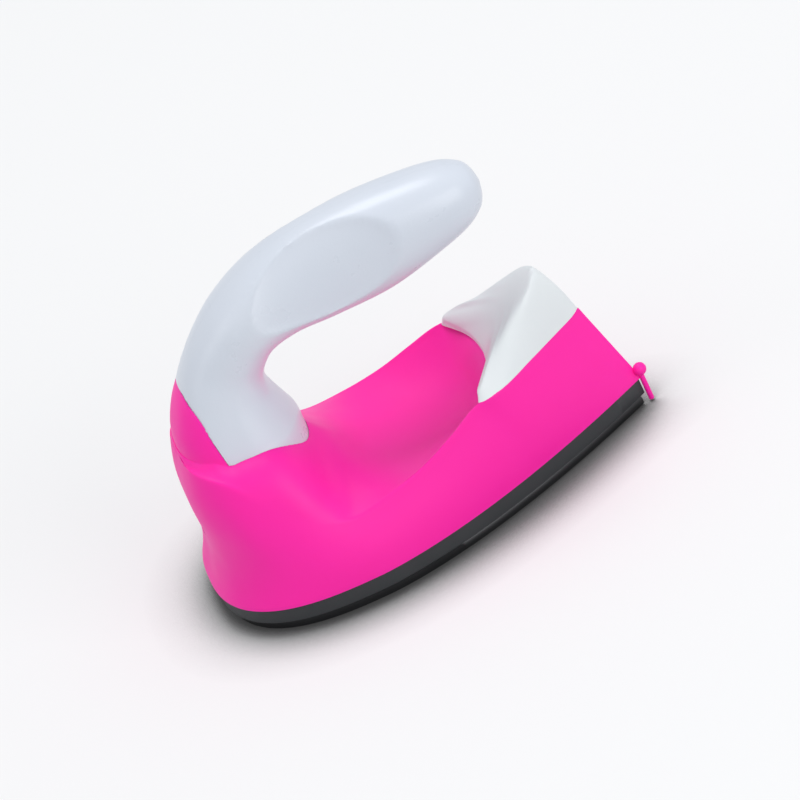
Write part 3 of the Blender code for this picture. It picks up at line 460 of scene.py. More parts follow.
most_turn = [socket for socket in turn.inputs if socket.enabled and socket.name == "Max"][0]
row.links.new(given.outputs["Screw"], screw_shape.inputs["Object"])
row.links.new(given.outputs["Most Turn"], most_turn)
row.links.new(given.outputs["Seed"], turn.inputs["Seed"])
row.links.new(turn_value, about_axis.inputs["Y"])
row.links.new(given.outputs["Geometry"], placed.inputs["Points"])
row.links.new(screw_shape.outputs["Geometry"], placed.inputs["Instance"])
row.links.new(about_axis.outputs["Vector"], placed.inputs["Rotation"])
row.links.new(placed.outputs["Instances"], real.inputs["Geometry"])
row.links.new(real.outputs["Geometry"], painted.inputs["Geometry"])
row.links.new(given.outputs["Finish"], painted.inputs["Material"])
row.links.new(painted.outputs["Geometry"], result.inputs["Geometry"])

head_face = screw_recess + 2.0 * screw_head_height + hairline
screw_places = bpy.data.meshes.new("screw_places")
screw_places.from_pydata([(along(x_share * overall_length), head_face, z_share * handle_height)
                          for x_share, z_share in handle_screw_shares], [], [])
screws = bpy.data.objects.new("visual_handle_screws", screw_places)
bpy.context.scene.collection.objects.link(screws)
step = screws.modifiers.new("screw_row", "NODES")
step.node_group = row
step[row_inputs["Screw"]] = one_screw
step[row_inputs["Most Turn"]] = math.pi
step[row_inputs["Seed"]] = screw_turn_seed
step[row_inputs["Finish"]] = zinc_steel
apply_modifiers(screws)
bpy.data.objects.remove(one_screw, do_unlink=True)
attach(screws, "iron")
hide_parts("handle_screw_1", "handle_screw_2", "handle_screw_3")


# The body is one thin-walled shell moulded in pink plastic, with a scooped bowl behind the nose deck.
# Its pointed upstand backs the neck of the handle, and a small hook hangs in front of the tip.
# It is screwed down to the sole by bosses inside, so nothing of its fixing shows.
body_length = 0.103
body_width = 0.0566
half_width = body_width / 2.0
shoulder_height = 0.0390
foot_height = 0.0068
body_lip = 0.00652
deck_height = 0.0292
nose_height = 0.0435
nose_screw_x = 0.0885
wall = 0.0020
widest_share = 0.33
rear_power = 2.6
front_power = 1.6
body_rib_steps = 8
body_line_steps = 4
body_smoothings = 10
body_hairline = 0.00010
body_core_share = 0.65
body_crisp_angle = 50.0
smoothing_factor = 0.5
fillet_radius_rear = 0.0024
fillet_radius_seam = 0.0035
fillet_narrows_from = 0.0080
fillet_narrows_over = 0.0060
fillet_fade = 0.0026
fillet_smoothings = 2
neck_tongue = 0.0022
seam_margin = 0.0003
soft_until = 0.064
soft_fade = 0.010
soft_above = 0.012
soft_rise = 0.006
# Ribs from the heel to the tip, in shares: x of the foot, x, y and z of the crest, and x and z of the spine.
# The last three say how steeply the top falls to the spine, and how far the wall swells and sways outwards.
body_ribs = (
    (0.000, 0.051, 0.000, 1.01, 0.060, 1.01, 5.0, -0.022, -0.042),
    (0.003, 0.052, 0.210, 1.01, 0.068, 1.01, 5.0, -0.022, -0.042),
    (0.016, 0.063, 0.390, 1.00, 0.084, 1.01, 5.0, -0.020, -0.040),
    (0.048, 0.089, 0.530, 0.98, 0.114, 1.01, 5.5, -0.010, -0.034),
    (0.098, 0.127, 0.650, 0.92, 0.152, 1.01, 6.0, 0.015, -0.028),
    (0.158, 0.172, 0.760, 0.79, 0.195, 1.01, 6.5, 0.020, -0.010),
    (0.235, 0.235, 0.850, 0.63, 0.255, 0.98, 5.5, 0.030, 0.000),
    (0.330, 0.322, 0.866, 0.520, 0.320, 0.85, 1.1, 0.035, 0.000),
    (0.425, 0.415, 0.820, 0.540, 0.405, 0.59, 2.2, 0.040, 0.000),
    (0.520, 0.505, 0.775, 0.590, 0.500, 0.51, 2.2, 0.045, 0.000),
    (0.615, 0.590, 0.715, 0.675, 0.585, 0.51, 2.3, 0.050, 0.000),
    (0.695, 0.655, 0.650, 0.745, 0.658, 0.575, 2.6, 0.050, 0.000),
    (0.755, 0.713, 0.610, 0.749, 0.720, 0.745, 2.0, 0.045, 0.000),
    (0.825, 0.781, 0.455, 0.749, 0.778, 0.749, 2.0, 0.040, 0.000),
    (0.895, 0.849, 0.270, 0.749, 0.845, 0.749, 2.0, 0.025, 0.000),
    (0.955, 0.905, 0.115, 0.749, 0.895, 0.749, 2.0, 0.010, 0.000),
    (1.000, 0.942, 0.000, 0.749, 0.922, 0.749, 2.0, 0.000, 0.000),
)
wall_rise_shares = (0.0, 0.10, 0.25, 0.42, 0.60, 0.78, 0.92, 1.0)
top_inward_shares = (0.05, 0.14, 0.28, 0.44, 0.62, 0.80, 1.0)
inset_reach_share = 3.3
inset_width_share = 1.15
crest_inset_share = 1.4
spine_shift_share = 0.7
spine_turn_share = 0.70
# Rings of the upstand from below: height, rear, front and half width, all in shares.
neck_rings = (
    (0.450, 0.0900, 0.300, 0.380),
    (0.672, 0.0510, 0.323, 0.515),
    (0.740, 0.0540, 0.318, 0.490),
    (0.825, 0.0630, 0.303, 0.445),
    (0.920, 0.0855, 0.297, 0.400),
    (1.000, 0.1130, 0.310, 0.365),
    (1.060, 0.1320, 0.330, 0.345),
)
neck_power = 2.5
neck_sides = 96
neck_steps = 12


def foot_half_width(share):
    """Half the width of the foot, as a share of the widest place, at a share of the length."""
    if share <= widest_share:
        back = (widest_share - share) / widest_share
        return max(0.0, 1.0 - back ** rear_power) ** (1.0 / rear_power)
    ahead = (share - widest_share) / (1.0 - widest_share)
    return max(0.0, 1.0 - ahead ** front_power)


def drawn_in(place, inset):
    """A place on the wall moved inwards, so that the wall left outside it is about the inset thick."""
    middle = along(widest_share * body_length)
    along_share = 1.0 - inset_reach_share * inset / body_length
    across_share = 1.0 - inset_width_share * inset / half_width
    return Vector((middle + (place.x - middle) * along_share, place.y * across_share, place.z))


def body_line(rib, inset):
    """Points of one rib, from the foot over the crest to the spine, on the side of positive Y."""
    foot_x, crest_x, crest_y, crest_z, spine_x, spine_z, fall, belly, sway = rib
    foot_x = min(max(foot_x, 0.0), 1.0)
    foot = Vector((along(foot_x * body_length), half_width * foot_half_width(foot_x), foot_height))
    crest = Vector((along(crest_x * body_length), crest_y * half_width,
                    crest_z * shoulder_height - crest_inset_share * inset))
    turn = min(max((spine_x - spine_turn_share) / (1.0 - spine_turn_share), 0.0), 1.0)
    foot = drawn_in(foot, inset)
    moved = drawn_in(crest, inset * crest_inset_share)
    if crest_x > widest_share:
        moved.x = crest.x + (moved.x - crest.x) * turn
    crest = moved
    spine = Vector((along(spine_x * body_length), 0.0, spine_z * shoulder_height - inset))
    spine.x = (spine.x + spine_shift_share * inset) * (1.0 - turn) + drawn_in(spine, inset).x * turn
    outward = Vector((foot.x - along(widest_share * body_length), foot.y, 0.0)).normalized()
    points = [foot - Vector((0.0, 0.0, wall + inset))]
    for rise in wall_rise_shares:
        swell = belly * math.sin(math.pi * rise) + sway * math.sin(2.0 * math.pi * rise)
        points.append(foot.lerp(crest, rise) + outward * swell * half_width)
    for inward in top_inward_shares:
        place = crest.lerp(spine, inward)
        place.z = spine.z + (crest.z - spine.z) * (1.0 - inward) ** fall
        points.append(place)
    on_middle = foot_x in (0.0, 1.0)
    points = [Vector((point.x, 0.0 if on_middle else max(point.y, 0.0), point.z)) for point in points]
    points[-1].y = 0.0
    return points


def two_sided(line):
    """A rib carried over the spine and down the other side, as a closed loop."""
    return [tuple(point) for point in line] + [(x, -y, z) for x, y, z in reversed(line[:-1])]


def body_solid(name, inset=0.0):
    """The body as a solid made smaller by an inset, soft behind the nose and crisp round it."""
    loops = []
    for rib in smooth_rows(body_ribs, body_rib_steps):
        line = smooth_rows([tuple(point) for point in body_line(rib, inset)], body_line_steps)
        loops.append(two_sided([(x, max(y, 0.0), z) for x, y, z in line]))
    solid = loft(name, loops)
    soft_part = solid.vertex_groups.new(name="soft_part")
    for vertex in solid.data.vertices:
        behind_nose = min(max((along(soft_until) - vertex.co.x) / soft_fade, 0.0), 1.0)
        above_foot = min(max((vertex.co.z - soft_above) / soft_rise, 0.0), 1.0)
        soft_part.add([vertex.index], behind_nose * above_foot, "REPLACE")
    soften = solid.modifiers.new("soften", "SMOOTH")
    soften.factor = smoothing_factor
    soften.iterations = body_smoothings
    soften.vertex_group = "soft_part"
    return apply_modifiers(solid)


def neck_loop(ring):
    """One closed ring of the upstand, whose front ends in a tongue inside the handle."""
    height_share, rear_share, front_share, width_share = ring
    height = height_share * neck_top
    rear = along(rear_share * body_length)
    front = along(front_share * body_length)
    middle = (rear + front) / 2.0
    half_depth = (front - rear) / 2.0
    width = width_share * half_width
    seam = max(split_x(height), rear + seam_margin)
    seam_share = abs(seam - middle) / half_depth
    seam_width = width * (1.0 - seam_share ** neck_power) ** (1.0 / neck_power)
    points = []
    for side in range(neck_sides):
        angle = 2.0 * math.pi * side / neck_sides
        c = math.cos(angle)
        s = math.sin(angle)
        x = middle + half_depth * math.copysign(abs(c) ** (2.0 / neck_power), c)
        y = width * abs(s) ** (2.0 / neck_power)
        if x > seam:
            y = min(y, seam_width)
            x = min(x, seam + neck_tongue)
        points.append((x, math.copysign(y, s), height))
    return points


def filleted(thing, beside):
    """Raise a surface in a round fillet where it runs up to another solid."""
    tree = BVHTree.FromObject(beside, bpy.context.evaluated_depsgraph_get())
    lifts = [0.0] * len(thing.data.vertices)
    for vertex in thing.data.vertices:
        forward = (vertex.co.x - along(fillet_narrows_from)) / fillet_narrows_over
        forward = min(max(forward, 0.0), 1.0)
        radius = fillet_radius_rear + (fillet_radius_seam - fillet_radius_rear) * forward
        near, normal, face, gap = tree.find_nearest(vertex.co, radius)
        if near is None:
            continue
        if (vertex.co - near).dot(normal) < 0.0:
            gap = 0.0
        corner = 1.0 - max(vertex.normal.dot(normal), 0.0)
        corner *= min(max((split_x(split_foot_height) - vertex.co.x) / fillet_fade, 0.0), 1.0)
        rise = radius - math.sqrt(max(radius ** 2 - (radius - gap) ** 2, 0.0))
        lifts[vertex.index] = corner * rise
    for step in range(fillet_smoothings):
        sums = [0.0] * len(lifts)
        counts = [0] * len(lifts)
        for edge in thing.data.edges:
            a, b = edge.vertices
            sums[a] += lifts[b]
            sums[b] += lifts[a]
            counts[a] += 1
            counts[b] += 1
        lifts = [(lift + total / count) / 2.0 for lift, total, count in zip(lifts, sums, counts)]
    moves = [vertex.normal * lifts[vertex.index] for vertex in thing.data.vertices]
    for vertex, move in zip(thing.data.vertices, moves):
        vertex.co += move
    thing.data.update()


def cut_flat(thing, height):
    """Cut everything below a height away, which leaves a flat rim."""
    reach = overall_length
    below = box_solid("below", (-reach, -reach, height - reach), (reach, reach, height))
    return combine(thing, below, "DIFFERENCE")


shelf_bottom = 0.0275
shelf_top = foot_bottom - hairline
shelf_start = 0.0130
shelf_end = 0.0345
rear_post_x = 0.0300
front_post_x = 0.0800
post_radius = 0.0032
boss_bottom = 0.0151
body_screw_seat = 0.0185
inlet_height = 0.0220
inlet_radius = 0.0040
inlet_bore_end = 0.0080
hook_leg_radius = 0.0006
hook_bead_radius = 0.0015
hook_height = 0.0086
hook_leg_bottom = 0.0006
hook_leg_sides = 24
hook_bead_segments = 32
hook_bead_rings = 20
ring_inset = 0.0006

body = body_solid("visual_body_shell")
neck = loft("neck", [neck_loop(ring) for ring in smooth_rows(neck_rings, neck_steps)])
filleted(body, neck)
combine(body, neck, "UNION")
body_core = body_solid("body_core", body_core_share * wall)
combine(body, body_solid("hollow", wall), "DIFFERENCE")
shelf = box_solid("shelf", (along(shelf_start), -half_width, shelf_bottom),
                  (along(shelf_end), half_width, shelf_top))
combine(body, combine(shelf, copy_of(body_core, "core"), "INTERSECT"), "UNION")
for x, top in ((rear_post_x, shelf_bottom + wall / 2.0), (front_post_x, deck_height - hairline)):
    boss = bar("boss", (along(x), 0.0, boss_bottom), (along(x), 0.0, top), post_radius + wall / 2.0)
    combine(body, combine(boss, copy_of(body_core, "core"), "INTERSECT"), "UNION")
bpy.data.objects.remove(body_core, do_unlink=True)
combine(body, handle_solid("neck_hole", body_hairline), "DIFFERENCE")
cut_flat(body, body_lip)
for y in (-foot_screw_y, foot_screw_y):
    bored(body, (along(foot_screw_x), y, shelf_bottom - wall / 2.0),
          (along(foot_screw_x), y, shelf_top + wall / 2.0), screw_radius + hairline)
for x in (rear_post_x, front_post_x):
    bored(body, (along(x), 0.0, boss_bottom - wall), (along(x), 0.0, body_screw_seat + wall / 2.0),
          screw_radius + hairline)
    bored(body, (along(x), 0.0, body_screw_seat), (along(x), 0.0, nose_height + overrun),
          screw_head_radius + hairline)
bored(body, (along(nose_screw_x), 0.0, deck_height - 2.0 * wall),
      (along(nose_screw_x), 0.0, deck_height + wall), screw_radius + hairline)
bored(body, (along(-wall), 0.0, inlet_height), (along(inlet_bore_end), 0.0, inlet_height),
      inlet_radius + hairline)
leg_x = along(body_length - ring_inset + hook_leg_radius + hairline)
leg = bar("leg", (leg_x, 0.0, hook_leg_bottom), (leg_x, 0.0, hook_height), hook_leg_radius, hook_leg_sides)
combine(body, leg, "UNION")
bpy.ops.mesh.primitive_uv_sphere_add(
    segments=hook_bead_segments, ring_count=hook_bead_rings, radius=hook_bead_radius)
bead = bpy.context.object
bead.data.transform(Matrix.Translation((along(overall_length - hook_bead_radius), 0.0, hook_height)))
combine(body, bead, "UNION")
shaded(body, body_crisp_angle)
body.data.materials.clear()
pink_abs = finish("pink_abs", worked_skin, moulded,
                  ((0.97, 0.009, 0.36), (1.0, 0.014, 0.39)), (0.42, 0.54), subsurface=0.15, specular=0.32)
body.data.materials.append(pink_abs)
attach(body, "iron")
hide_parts("body_shell")


# The nose cover is a thin off-white cap with side walls drawn up to a high blunt front.
# It closes the deck over the tip, and a screw from inside the shell holds it.
nose_seat = 0.02925
nose_wall = 0.0018
nose_post_radius = 0.0028
nose_crisp_angle = 30.0
nose_middle_share = 0.78
nose_inset_share = 2.1
nose_drop_share = 1.3
nose_belly_share = 0.03
nose_steps = 10
nose_smoothings = 24
nose_soft_rise = 0.0040
# Ribs of the cap from its rear edge to its front, in shares: x and y of the seat, x, y and z of the crest,
# and x and z of the spine.
nose_ribs = (
    (0.722, 0.000, 0.724, 0.000, 0.688, 0.730, 0.712),
    (0.716, 0.200, 0.718, 0.190, 0.692, 0.745, 0.752),
    (0.702, 0.370, 0.704, 0.355, 0.700, 0.765, 0.798),
    (0.684, 0.500, 0.686, 0.485, 0.712, 0.785, 0.838),
    (0.668, 0.610, 0.674, 0.585, 0.722, 0.802, 0.868),
    (0.674, 0.640, 0.688, 0.580, 0.748, 0.815, 0.892),
    (0.700, 0.625, 0.715, 0.490, 0.796, 0.828, 0.915),
    (0.740, 0.560, 0.748, 0.395, 0.832, 0.840, 0.935),
    (0.790, 0.430, 0.795, 0.300, 0.896, 0.850, 0.950),
    (0.840, 0.295, 0.840, 0.235, 0.945, 0.858, 0.965),
    (0.885, 0.175, 0.870, 0.160, 0.982, 0.866, 0.975),
    (0.920, 0.080, 0.888, 0.080, 0.994, 0.874, 0.990),
    (0.940, 0.000, 0.893, 0.000, 1.000, 0.882, 1.000),
)
nose_rise_shares = (0.0, 0.12, 0.25, 0.40, 0.55, 0.70, 0.82, 0.92, 1.0)
nose_inward_shares = (0.06, 0.14, 0.26, 0.40, 0.55, 0.70, 0.85, 1.0)


def nose_line(rib, inset):
    """Points of one rib of the cap, from its seat over the crest to the middle, made smaller by an inset."""
    seat_x, seat_y, crest_x, crest_y, crest_z, spine_x, spine_z = rib
    seat = Vector((along(seat_x * body_length), max(seat_y, 0.0) * half_width, deck_height))
    crest = Vector((along(crest_x * body_length), max(crest_y, 0.0) * half_width,
                    crest_z * nose_height - inset))
    spine = Vector((along(spine_x * body_length), 0.0, spine_z * nose_height - inset * nose_drop_share))
    middle = along(nose_middle_share * body_length)
    smaller = 1.0 - nose_inset_share * inset / half_width
    for place in (seat, crest, spine):
        place.x = middle + (place.x - middle) * smaller
        place.y *= smaller
    tall = (crest.z - seat.z) / (nose_height - deck_height)
    outward = Vector((crest.x - along(widest_share * body_length), crest.y, 0.0)).normalized()
    points = [seat - Vector((0.0, 0.0, wall + inset))]
    for rise in nose_rise_shares:
        swell = nose_belly_share * half_width * tall * math.sin(math.pi * rise)
        points.append(seat.lerp(crest, rise) + outward * swell)
    for inward in nose_inward_shares:
        points.append(crest.lerp(spine, inward))
    if seat_y <= 0.0:
        points = [Vector((point.x, 0.0, point.z)) for point in points]
    points[-1].y = 0.0
    return points


def nose_solid(name, inset=0.0):
    """The cap as a solid made smaller by an inset, with its crest rounded over and its seat left true."""
    solid = loft(name, [two_sided([tuple(point) for point in nose_line(rib, inset)])
                        for rib in smooth_rows(nose_ribs, nose_steps)])
    soft_crest = solid.vertex_groups.new(name="soft_crest")
    for vertex in solid.data.vertices:
        above_seat = (vertex.co.z - nose_seat) / nose_soft_rise
        soft_crest.add([vertex.index], min(max(above_seat, 0.0), 1.0), "REPLACE")
    soften = solid.modifiers.new("soften", "SMOOTH")
    soften.factor = smoothing_factor
    soften.iterations = nose_smoothings
    soften.vertex_group = "soft_crest"
    return apply_modifiers(solid)


nose = combine(nose_solid("visual_nose_cover"), nose_solid("hollow", nose_wall), "DIFFERENCE")
post = bar("post", (along(nose_screw_x), 0.0, nose_seat), (along(nose_screw_x), 0.0, nose_height),
           nose_post_radius)
combine(nose, combine(post, nose_solid("core", nose_wall / 2.0), "INTERSECT"), "UNION")
cut_flat(nose, nose_seat)
bored(nose, (along(nose_screw_x), 0.0, nose_seat - wall),
      (along(nose_screw_x), 0.0, nose_seat + pilot_depth), screw_radius + hairline)
shaded(nose, nose_crisp_angle)
nose.data.materials.clear()
nose_abs = finish("nose_abs", worked_skin, moulded,
                  ((0.70, 0.735, 0.75), (0.75, 0.78, 0.79)), (0.34, 0.44))
nose.data.materials.append(nose_abs)
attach(nose, "iron")
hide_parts("nose_cover")


# Under the body lies a black heat-proof resin ring, and under that the dark coated aluminium sole.
# Both follow the same pointed outline; the ring is moulded, the sole is cast, trued and coated.
ring_bottom = 0.0025
ring_top = 0.0065
ring_band = 0.0065
ring_edge = 0.0002
ring_crisp_angle = 30.0
outline_points = 160


def outline(inset, height):
    """A smooth closed loop round the foot, drawn in by an inset, at a height."""
    length = body_length - 2.0 * inset
    width = half_width - inset
    near = []
    for step in range(outline_points + 1):
        share = (1.0 - math.cos(math.pi * step / outline_points)) / 2.0
        near.append((along(inset + share * length), width * foot_half_width(share), height))
    return near + [(x, -y, z) for x, y, z in reversed(near[1:-1])]


ring = loft("visual_insulation_ring", [
    outline(ring_band, ring_top), outline(ring_inset + ring_edge, ring_top),
    outline(ring_inset, ring_top - ring_edge), outline(ring_inset, ring_bottom + ring_edge),
    outline(ring_inset + ring_edge, ring_bottom), outline(ring_band, ring_bottom)], capped=False)
shaded(ring, ring_crisp_angle)
resin = (80.0, 420.0, 4200.0, 0.00005)
charcoal = finish("charcoal_resin", worked_skin, resin,
                  ((0.020, 0.023, 0.025), (0.034, 0.037, 0.040)), (0.42, 0.62))
ring.data.materials.append(charcoal)
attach(ring, "iron")
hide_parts("insulation_ring")

sole_inset = 0.0016
sole_thickness = 0.0022
sole_edge = 0.0005
sole_edge_share = 0.3
sole_raised_top = 0.0028
sole_crisp_angle = 40.0
pad_root = 0.0010
pad_top = 0.0052
heater_pad = (0.0300, 0.0768, 0.0092)
cutout_pad = (0.0120, 0.0310, 0.0055)
sole_post_top = 0.0137
sole_post_hole_bottom = 0.0077
sole_hole_top = 0.0200
strip_screw_places = (0.0370, 0.0728)

sole = loft("visual_soleplate", [
    outline(sole_inset + sole_edge, 0.0),
    outline(sole_inset + sole_edge * sole_edge_share, sole_edge * sole_edge_share),
    outline(sole_inset, sole_edge), outline(sole_inset, sole_thickness - sole_edge / 2.0),
    outline(sole_inset + sole_edge / 2.0, sole_thickness)])
combine(sole, loft("raised", [outline(sole_inset + ring_band, sole_thickness / 2.0),
                              outline(sole_inset + ring_band, sole_raised_top)]), "UNION")
for pad_start, pad_end, pad_half_width in (heater_pad, cutout_pad):
    combine(sole, box_solid("pad", (along(pad_start), -pad_half_width, pad_root),
                            (along(pad_end), pad_half_width, pad_top)), "UNION")
for post_x in (rear_post_x, front_post_x):
    combine(sole, bar("post", (along(post_x), 0.0, pad_root), (along(post_x), 0.0, sole_post_top),
                      post_radius), "UNION")
    bored(sole, (along(post_x), 0.0, sole_post_hole_bottom), (along(post_x), 0.0, sole_hole_top),
          screw_radius + hairline)
for screw_x in strip_screw_places:
    bored(sole, (along(screw_x), 0.0, sole_thickness), (along(screw_x), 0.0, pad_top + wall),
          screw_radius + hairline)
shaded(sole, sole_crisp_angle)
cast = (60.0, 300.0, 3200.0, 0.00004)
coated = finish("coated_sole", worked_skin, cast,
                ((0.035, 0.036, 0.038), (0.060, 0.061, 0.064)), (0.26, 0.42), metallic=0.7)
sole.data.materials.append(coated)
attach(sole, "iron")
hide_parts("soleplate")


# A black rubber bush lines the inlet in the heel, where the mains cord would go in.
# It is moulded as a plain sleeve with a flange inside the wall, and its rims are rounded.
bush_start = 0.0039
bush_end = 0.0080
bush_flange_start = 0.0060
bush_flange_end = 0.0069
bush_flange_radius = 0.0056
bush_bore_radius = 0.0024
bush_round = 0.0004
bush_rim_share = 0.3
bush_sides = 72
bush_crisp_angle = 40.0

rim = bush_round * bush_rim_share
bush_profile = (
    (0.0, bush_bore_radius + bush_round), (0.0, inlet_radius - bush_round), (rim, inlet_radius - rim),
    (bush_round, inlet_radius), (bush_flange_start - bush_start, inlet_radius),
    (bush_flange_start - bush_start, bush_flange_radius - rim),
    (bush_flange_start - bush_start + rim, bush_flange_radius),
    (bush_flange_end - bush_start - rim, bush_flange_radius),
    (bush_flange_end - bush_start, bush_flange_radius - rim),
    (bush_flange_end - bush_start, inlet_radius), (bush_end - bush_start, inlet_radius),
    (bush_end - bush_start, bush_bore_radius), (bush_round, bush_bore_radius), (rim, bush_bore_radius + rim))
bush = turned("visual_inlet_bush", (along(bush_start), 0.0, inlet_height), (1.0, 0.0, 0.0),
              bush_profile, bush_sides, capped=False)
shaded(bush, bush_crisp_angle)
rubbery = (120.0, 600.0, 5200.0, 0.00004)
black_rubber = finish("black_rubber", worked_skin, rubbery,
                      ((0.012, 0.012, 0.013), (0.026, 0.026, 0.027)), (0.55, 0.75))
bush.data.materials.append(black_rubber)
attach(bush, "iron")
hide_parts("inlet_bush")


# Inside the shell a ceramic heater lies on a mica sheet under a steel strip, beside a fuse in a glass sleeve.
# A bimetal cut-out, a porcelain terminal block and four short leads complete the circuit over a steel shield.
# They are stamped, fired, woven and extruded parts, screwed down or pushed over one another.
def flake_group():
    """Node group for a sheet of mica: flat flakes of unequal tone and gloss with a shallow relief."""
    group, given, place, out = effect_group("mica_flakes", ("Flake Scale", "Streak Scale", "Depth"))
    tree = group.nodes
    wires = group.links
    flakes = tree.new("ShaderNodeTexVoronoi")
    streaks = tree.new("ShaderNodeTexNoise")
    bump = tree.new("ShaderNodeBump")
    wires.new(given.outputs["Flake Scale"], flakes.inputs["Scale"])
    wires.new(given.outputs["Streak Scale"], streaks.inputs["Scale"])
    wires.new(given.outputs["Depth"], bump.inputs["Distance"])
    wires.new(place, flakes.inputs["Vector"])
    wires.new(place, streaks.inputs["Vector"])
    wires.new(streaks.outputs["Fac"], out.inputs["Tint"])
    wires.new(flakes.outputs["Distance"], out.inputs["Gloss"])
    wires.new(flakes.outputs["Distance"], bump.inputs["Height"])
    wires.new(bump.outputs["Normal"], out.inputs["Normal"])
    return group


braid_lean = 45.0


def braid_group():
    """Node group for a braided sleeve: two crossing sets of threads that dip between them, where the colour
    is darkened as painted shade.
    """
    group, given, place, out = effect_group("glass_braid", ("Thread Scale", "Depth"))
    tree = group.nodes
    wires = group.links
    over = tree.new("ShaderNodeMath")
    over.operation = "MAXIMUM"
    for index, lean in enumerate((braid_lean, -braid_lean)):
        leaning = tree.new("ShaderNodeVectorRotate")
        leaning.rotation_type = "Z_AXIS"
        leaning.inputs["Angle"].default_value = math.radians(lean)
        thread = tree.new("ShaderNodeTexWave")
        wires.new(place, leaning.inputs["Vector"])
        wires.new(given.outputs["Thread Scale"], thread.inputs["Scale"])
        wires.new(leaning.outputs["Vector"], thread.inputs["Vector"])
        wires.new(thread.outputs["Fac"], over.inputs[index])
    bump = tree.new("ShaderNodeBump")
    wires.new(given.outputs["Depth"], bump.inputs["Distance"])
    wires.new(over.outputs["Value"], bump.inputs["Height"])
    # The thread height also sets the tint, so the gaps between threads get a painted shade.
    wires.new(over.outputs["Value"], out.inputs["Tint"])
    wires.new(over.outputs["Value"], out.inputs["Gloss"])
    wires.new(bump.outputs["Normal"], out.inputs["Normal"])
    return group


# The mica gives the scales of its flakes and streaks, the sleeve that of its threads, and both their depth.
fired = (220.0, 700.0, 4800.0, 0.00004)
sheathed = (160.0, 900.0, 6400.0, 0.00001)
flaked = (900.0, 300.0, 0.00002)
braided = (900.0, 0.00005)
inner_finishes = {
    "steel": zinc_steel,
    "brass": finish("stamped_brass", worked_skin, plated,
                    ((0.66, 0.48, 0.20), (0.80, 0.62, 0.30)), (0.22, 0.42), metallic=1.0),
    "ceramic": finish("white_ceramic", worked_skin, fired,
                      ((0.74, 0.71, 0.64), (0.84, 0.82, 0.76)), (0.42, 0.68)),
    "mica": finish("mica_sheet", flake_group(), flaked,
                   ((0.40, 0.30, 0.17), (0.62, 0.52, 0.36)), (0.18, 0.50)),
    # The darker colour of the sleeve is painted shade in the gaps between its threads.
    "sleeve": finish("glass_sleeve", braid_group(), braided,
                     ((0.50, 0.46, 0.34), (0.84, 0.80, 0.66)), (0.45, 0.70)),
    "brown_lead": finish("brown_sheath", worked_skin, sheathed,
                         ((0.15, 0.055, 0.022), (0.20, 0.080, 0.034)), (0.32, 0.50)),
    "blue_lead": finish("blue_sheath", worked_skin, sheathed,
                        ((0.022, 0.090, 0.36), (0.034, 0.12, 0.45)), (0.32, 0.50)),
}
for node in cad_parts.values():
    for slot in node.material_slots:
        if slot.material.name in inner_finishes:
            slot.material = inner_finishes[slot.material.name]


# The iron stands on a pale matt table top under large soft lamps and a bright ceiling.
# Close to the sole, where little light reaches it, the table's colour and glow are painted darker by an
# occlusion test: a painted contact shadow.
table_reach = 3.0
table_thickness = 0.0100
table_gap = 0.00002
paper_tone = 0.63
paper_glow = 0.24
paper_roughness = 0.9
paper_specular = 0.1
# These set the reach, samples and darkest tone of the contact shadow painted into the table near the iron.
shade_reach = 0.018
shade_samples = 8
shade_from = 0.45
shade_until = 1.0
shade_darkest = 0.10
ceiling_colour = (0.95, 0.97, 1.0)
ceiling_strength = 0.76
lamps = (
    ("key_light", (0.05, 0.20, 0.95), 0.40, 2.7),
    ("fill_light", (0.55, -0.80, 0.40), 0.70, 3.6),
    ("side_light", (-0.80, -0.10, 0.50), 0.40, 0.5),
)

floor = box_solid("floor", (-table_reach, -table_reach, -table_thickness),
                  (table_reach, table_reach, -table_gap))
paper = bpy.data.materials.new("white_paper")
paper.use_nodes = True
tree = paper.node_tree.nodes
wires = paper.node_tree.links
shader = tree["Principled BSDF"]
# An occlusion test near the iron paints a contact shadow into the table's colour and its glow.
painted_shadow_occlusion = tree.new("ShaderNodeAmbientOcclusion")
painted_shadow_occlusion.inputs["Distance"].default_value = shade_reach
painted_shadow_occlusion.samples = shade_samples
painted_shadow = tree.new("ShaderNodeMapRange")
painted_shadow.interpolation_type = "SMOOTHSTEP"
painted_shadow.inputs["From Min"].default_value = shade_from
painted_shadow.inputs["From Max"].default_value = shade_until
painted_shadow.inputs["To Min"].default_value = shade_darkest
wires.new(painted_shadow_occlusion.outputs["AO"], painted_shadow.inputs["Value"])
tone = tree.new("ShaderNodeMix")
tone.data_type = "RGBA"
tone.inputs["A"].default_value = (0.0, 0.0, 0.0, 1.0)
tone.inputs["B"].default_value = (paper_tone, paper_tone, paper_tone, 1.0)
wires.new(painted_shadow.outputs["Result"], tone.inputs["Factor"])
wires.new(tone.outputs["Result"], shader.inputs["Base Color"])
shader.inputs["Roughness"].default_value = paper_roughness
shader.inputs["Specular IOR Level"].default_value = paper_specular
seen = tree.new("ShaderNodeLightPath")
bright = tree.new("ShaderNodeMath")
bright.operation = "MAXIMUM"
wires.new(seen.outputs["Is Camera Ray"], bright.inputs[0])
wires.new(seen.outputs["Is Glossy Ray"], bright.inputs[1])
glow = tree.new("ShaderNodeMath")
glow.operation = "MULTIPLY"
glow.inputs[1].default_value = paper_glow
wires.new(bright.outputs["Value"], glow.inputs[0])
# The camera and reflection glow is dimmed by the same painted shadow.
held = tree.new("ShaderNodeMath")
held.operation = "MULTIPLY"
wires.new(glow.outputs["Value"], held.inputs[0])
wires.new(painted_shadow.outputs["Result"], held.inputs[1])
wires.new(held.outputs["Value"], shader.inputs["Emission Strength"])
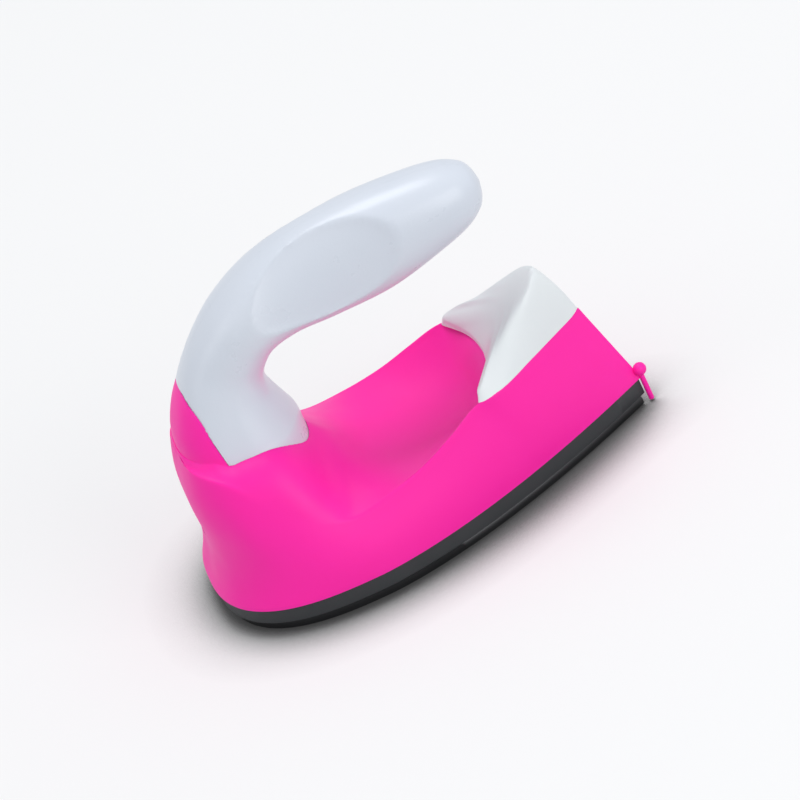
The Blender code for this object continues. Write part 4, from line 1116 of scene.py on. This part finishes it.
shader.inputs["Emission Color"].default_value = (1.0, 1.0, 1.0, 1.0)
floor.data.materials.append(paper)

world = bpy.data.worlds.new("studio")
world.use_nodes = True
bpy.context.scene.world = world
ceiling = world.node_tree.nodes["Background"]
ceiling.inputs["Color"].default_value = (*ceiling_colour, 1.0)
ceiling.inputs["Strength"].default_value = ceiling_strength

for name, place, size, power in lamps:
    light = bpy.data.lights.new(name, "AREA")
    light.shape = "RECTANGLE"
    light.size = size
    light.size_y = size
    light.energy = power
    lamp = bpy.data.objects.new(name, light)
    lamp.location = place
    lamp.rotation_euler = (-Vector(place)).to_track_quat("-Z", "Y").to_euler()
    bpy.context.scene.collection.objects.link(lamp)


# The camera looks across the near flank from above, rolled so that the sole runs up to the right.
# It stands far off with a long lens, because the photograph shows hardly any perspective.
# The named pixel is where the middle of the foot, at table height, lies in the photograph.
pixels_per_metre = 4620.0
middle_pixel = (440.0, 499.0)
elevation = math.radians(32.0)
roll = math.radians(25.0)
camera_distance = 6.0
sensor_width = 36.0
picture_width = 800.0
back = Vector((0.0, -math.cos(elevation), math.sin(elevation)))
right = Vector((1.0, 0.0, 0.0))
up = back.cross(right)
picture_right = right * math.cos(roll) - up * math.sin(roll)
picture_up = right * math.sin(roll) + up * math.cos(roll)
across = picture_width / 2.0 - middle_pixel[0]
down = picture_width / 2.0 - middle_pixel[1]
aim = (picture_right * across - picture_up * down) / pixels_per_metre
place = aim + back * camera_distance
camera_data = bpy.data.cameras.new("camera")
camera_data.sensor_width = sensor_width
camera_data.lens = sensor_width * camera_distance * pixels_per_metre / picture_width
camera_data.clip_end = 2.0 * camera_distance
camera = bpy.data.objects.new("camera", camera_data)
camera.matrix_world = Matrix((
    (picture_right.x, picture_up.x, back.x, place.x),
    (picture_right.y, picture_up.y, back.y, place.y),
    (picture_right.z, picture_up.z, back.z, place.z),
    (0.0, 0.0, 0.0, 1.0)))
bpy.context.scene.collection.objects.link(camera)
bpy.context.scene.camera = camera
bpy.context.scene.view_settings.view_transform = "Standard"
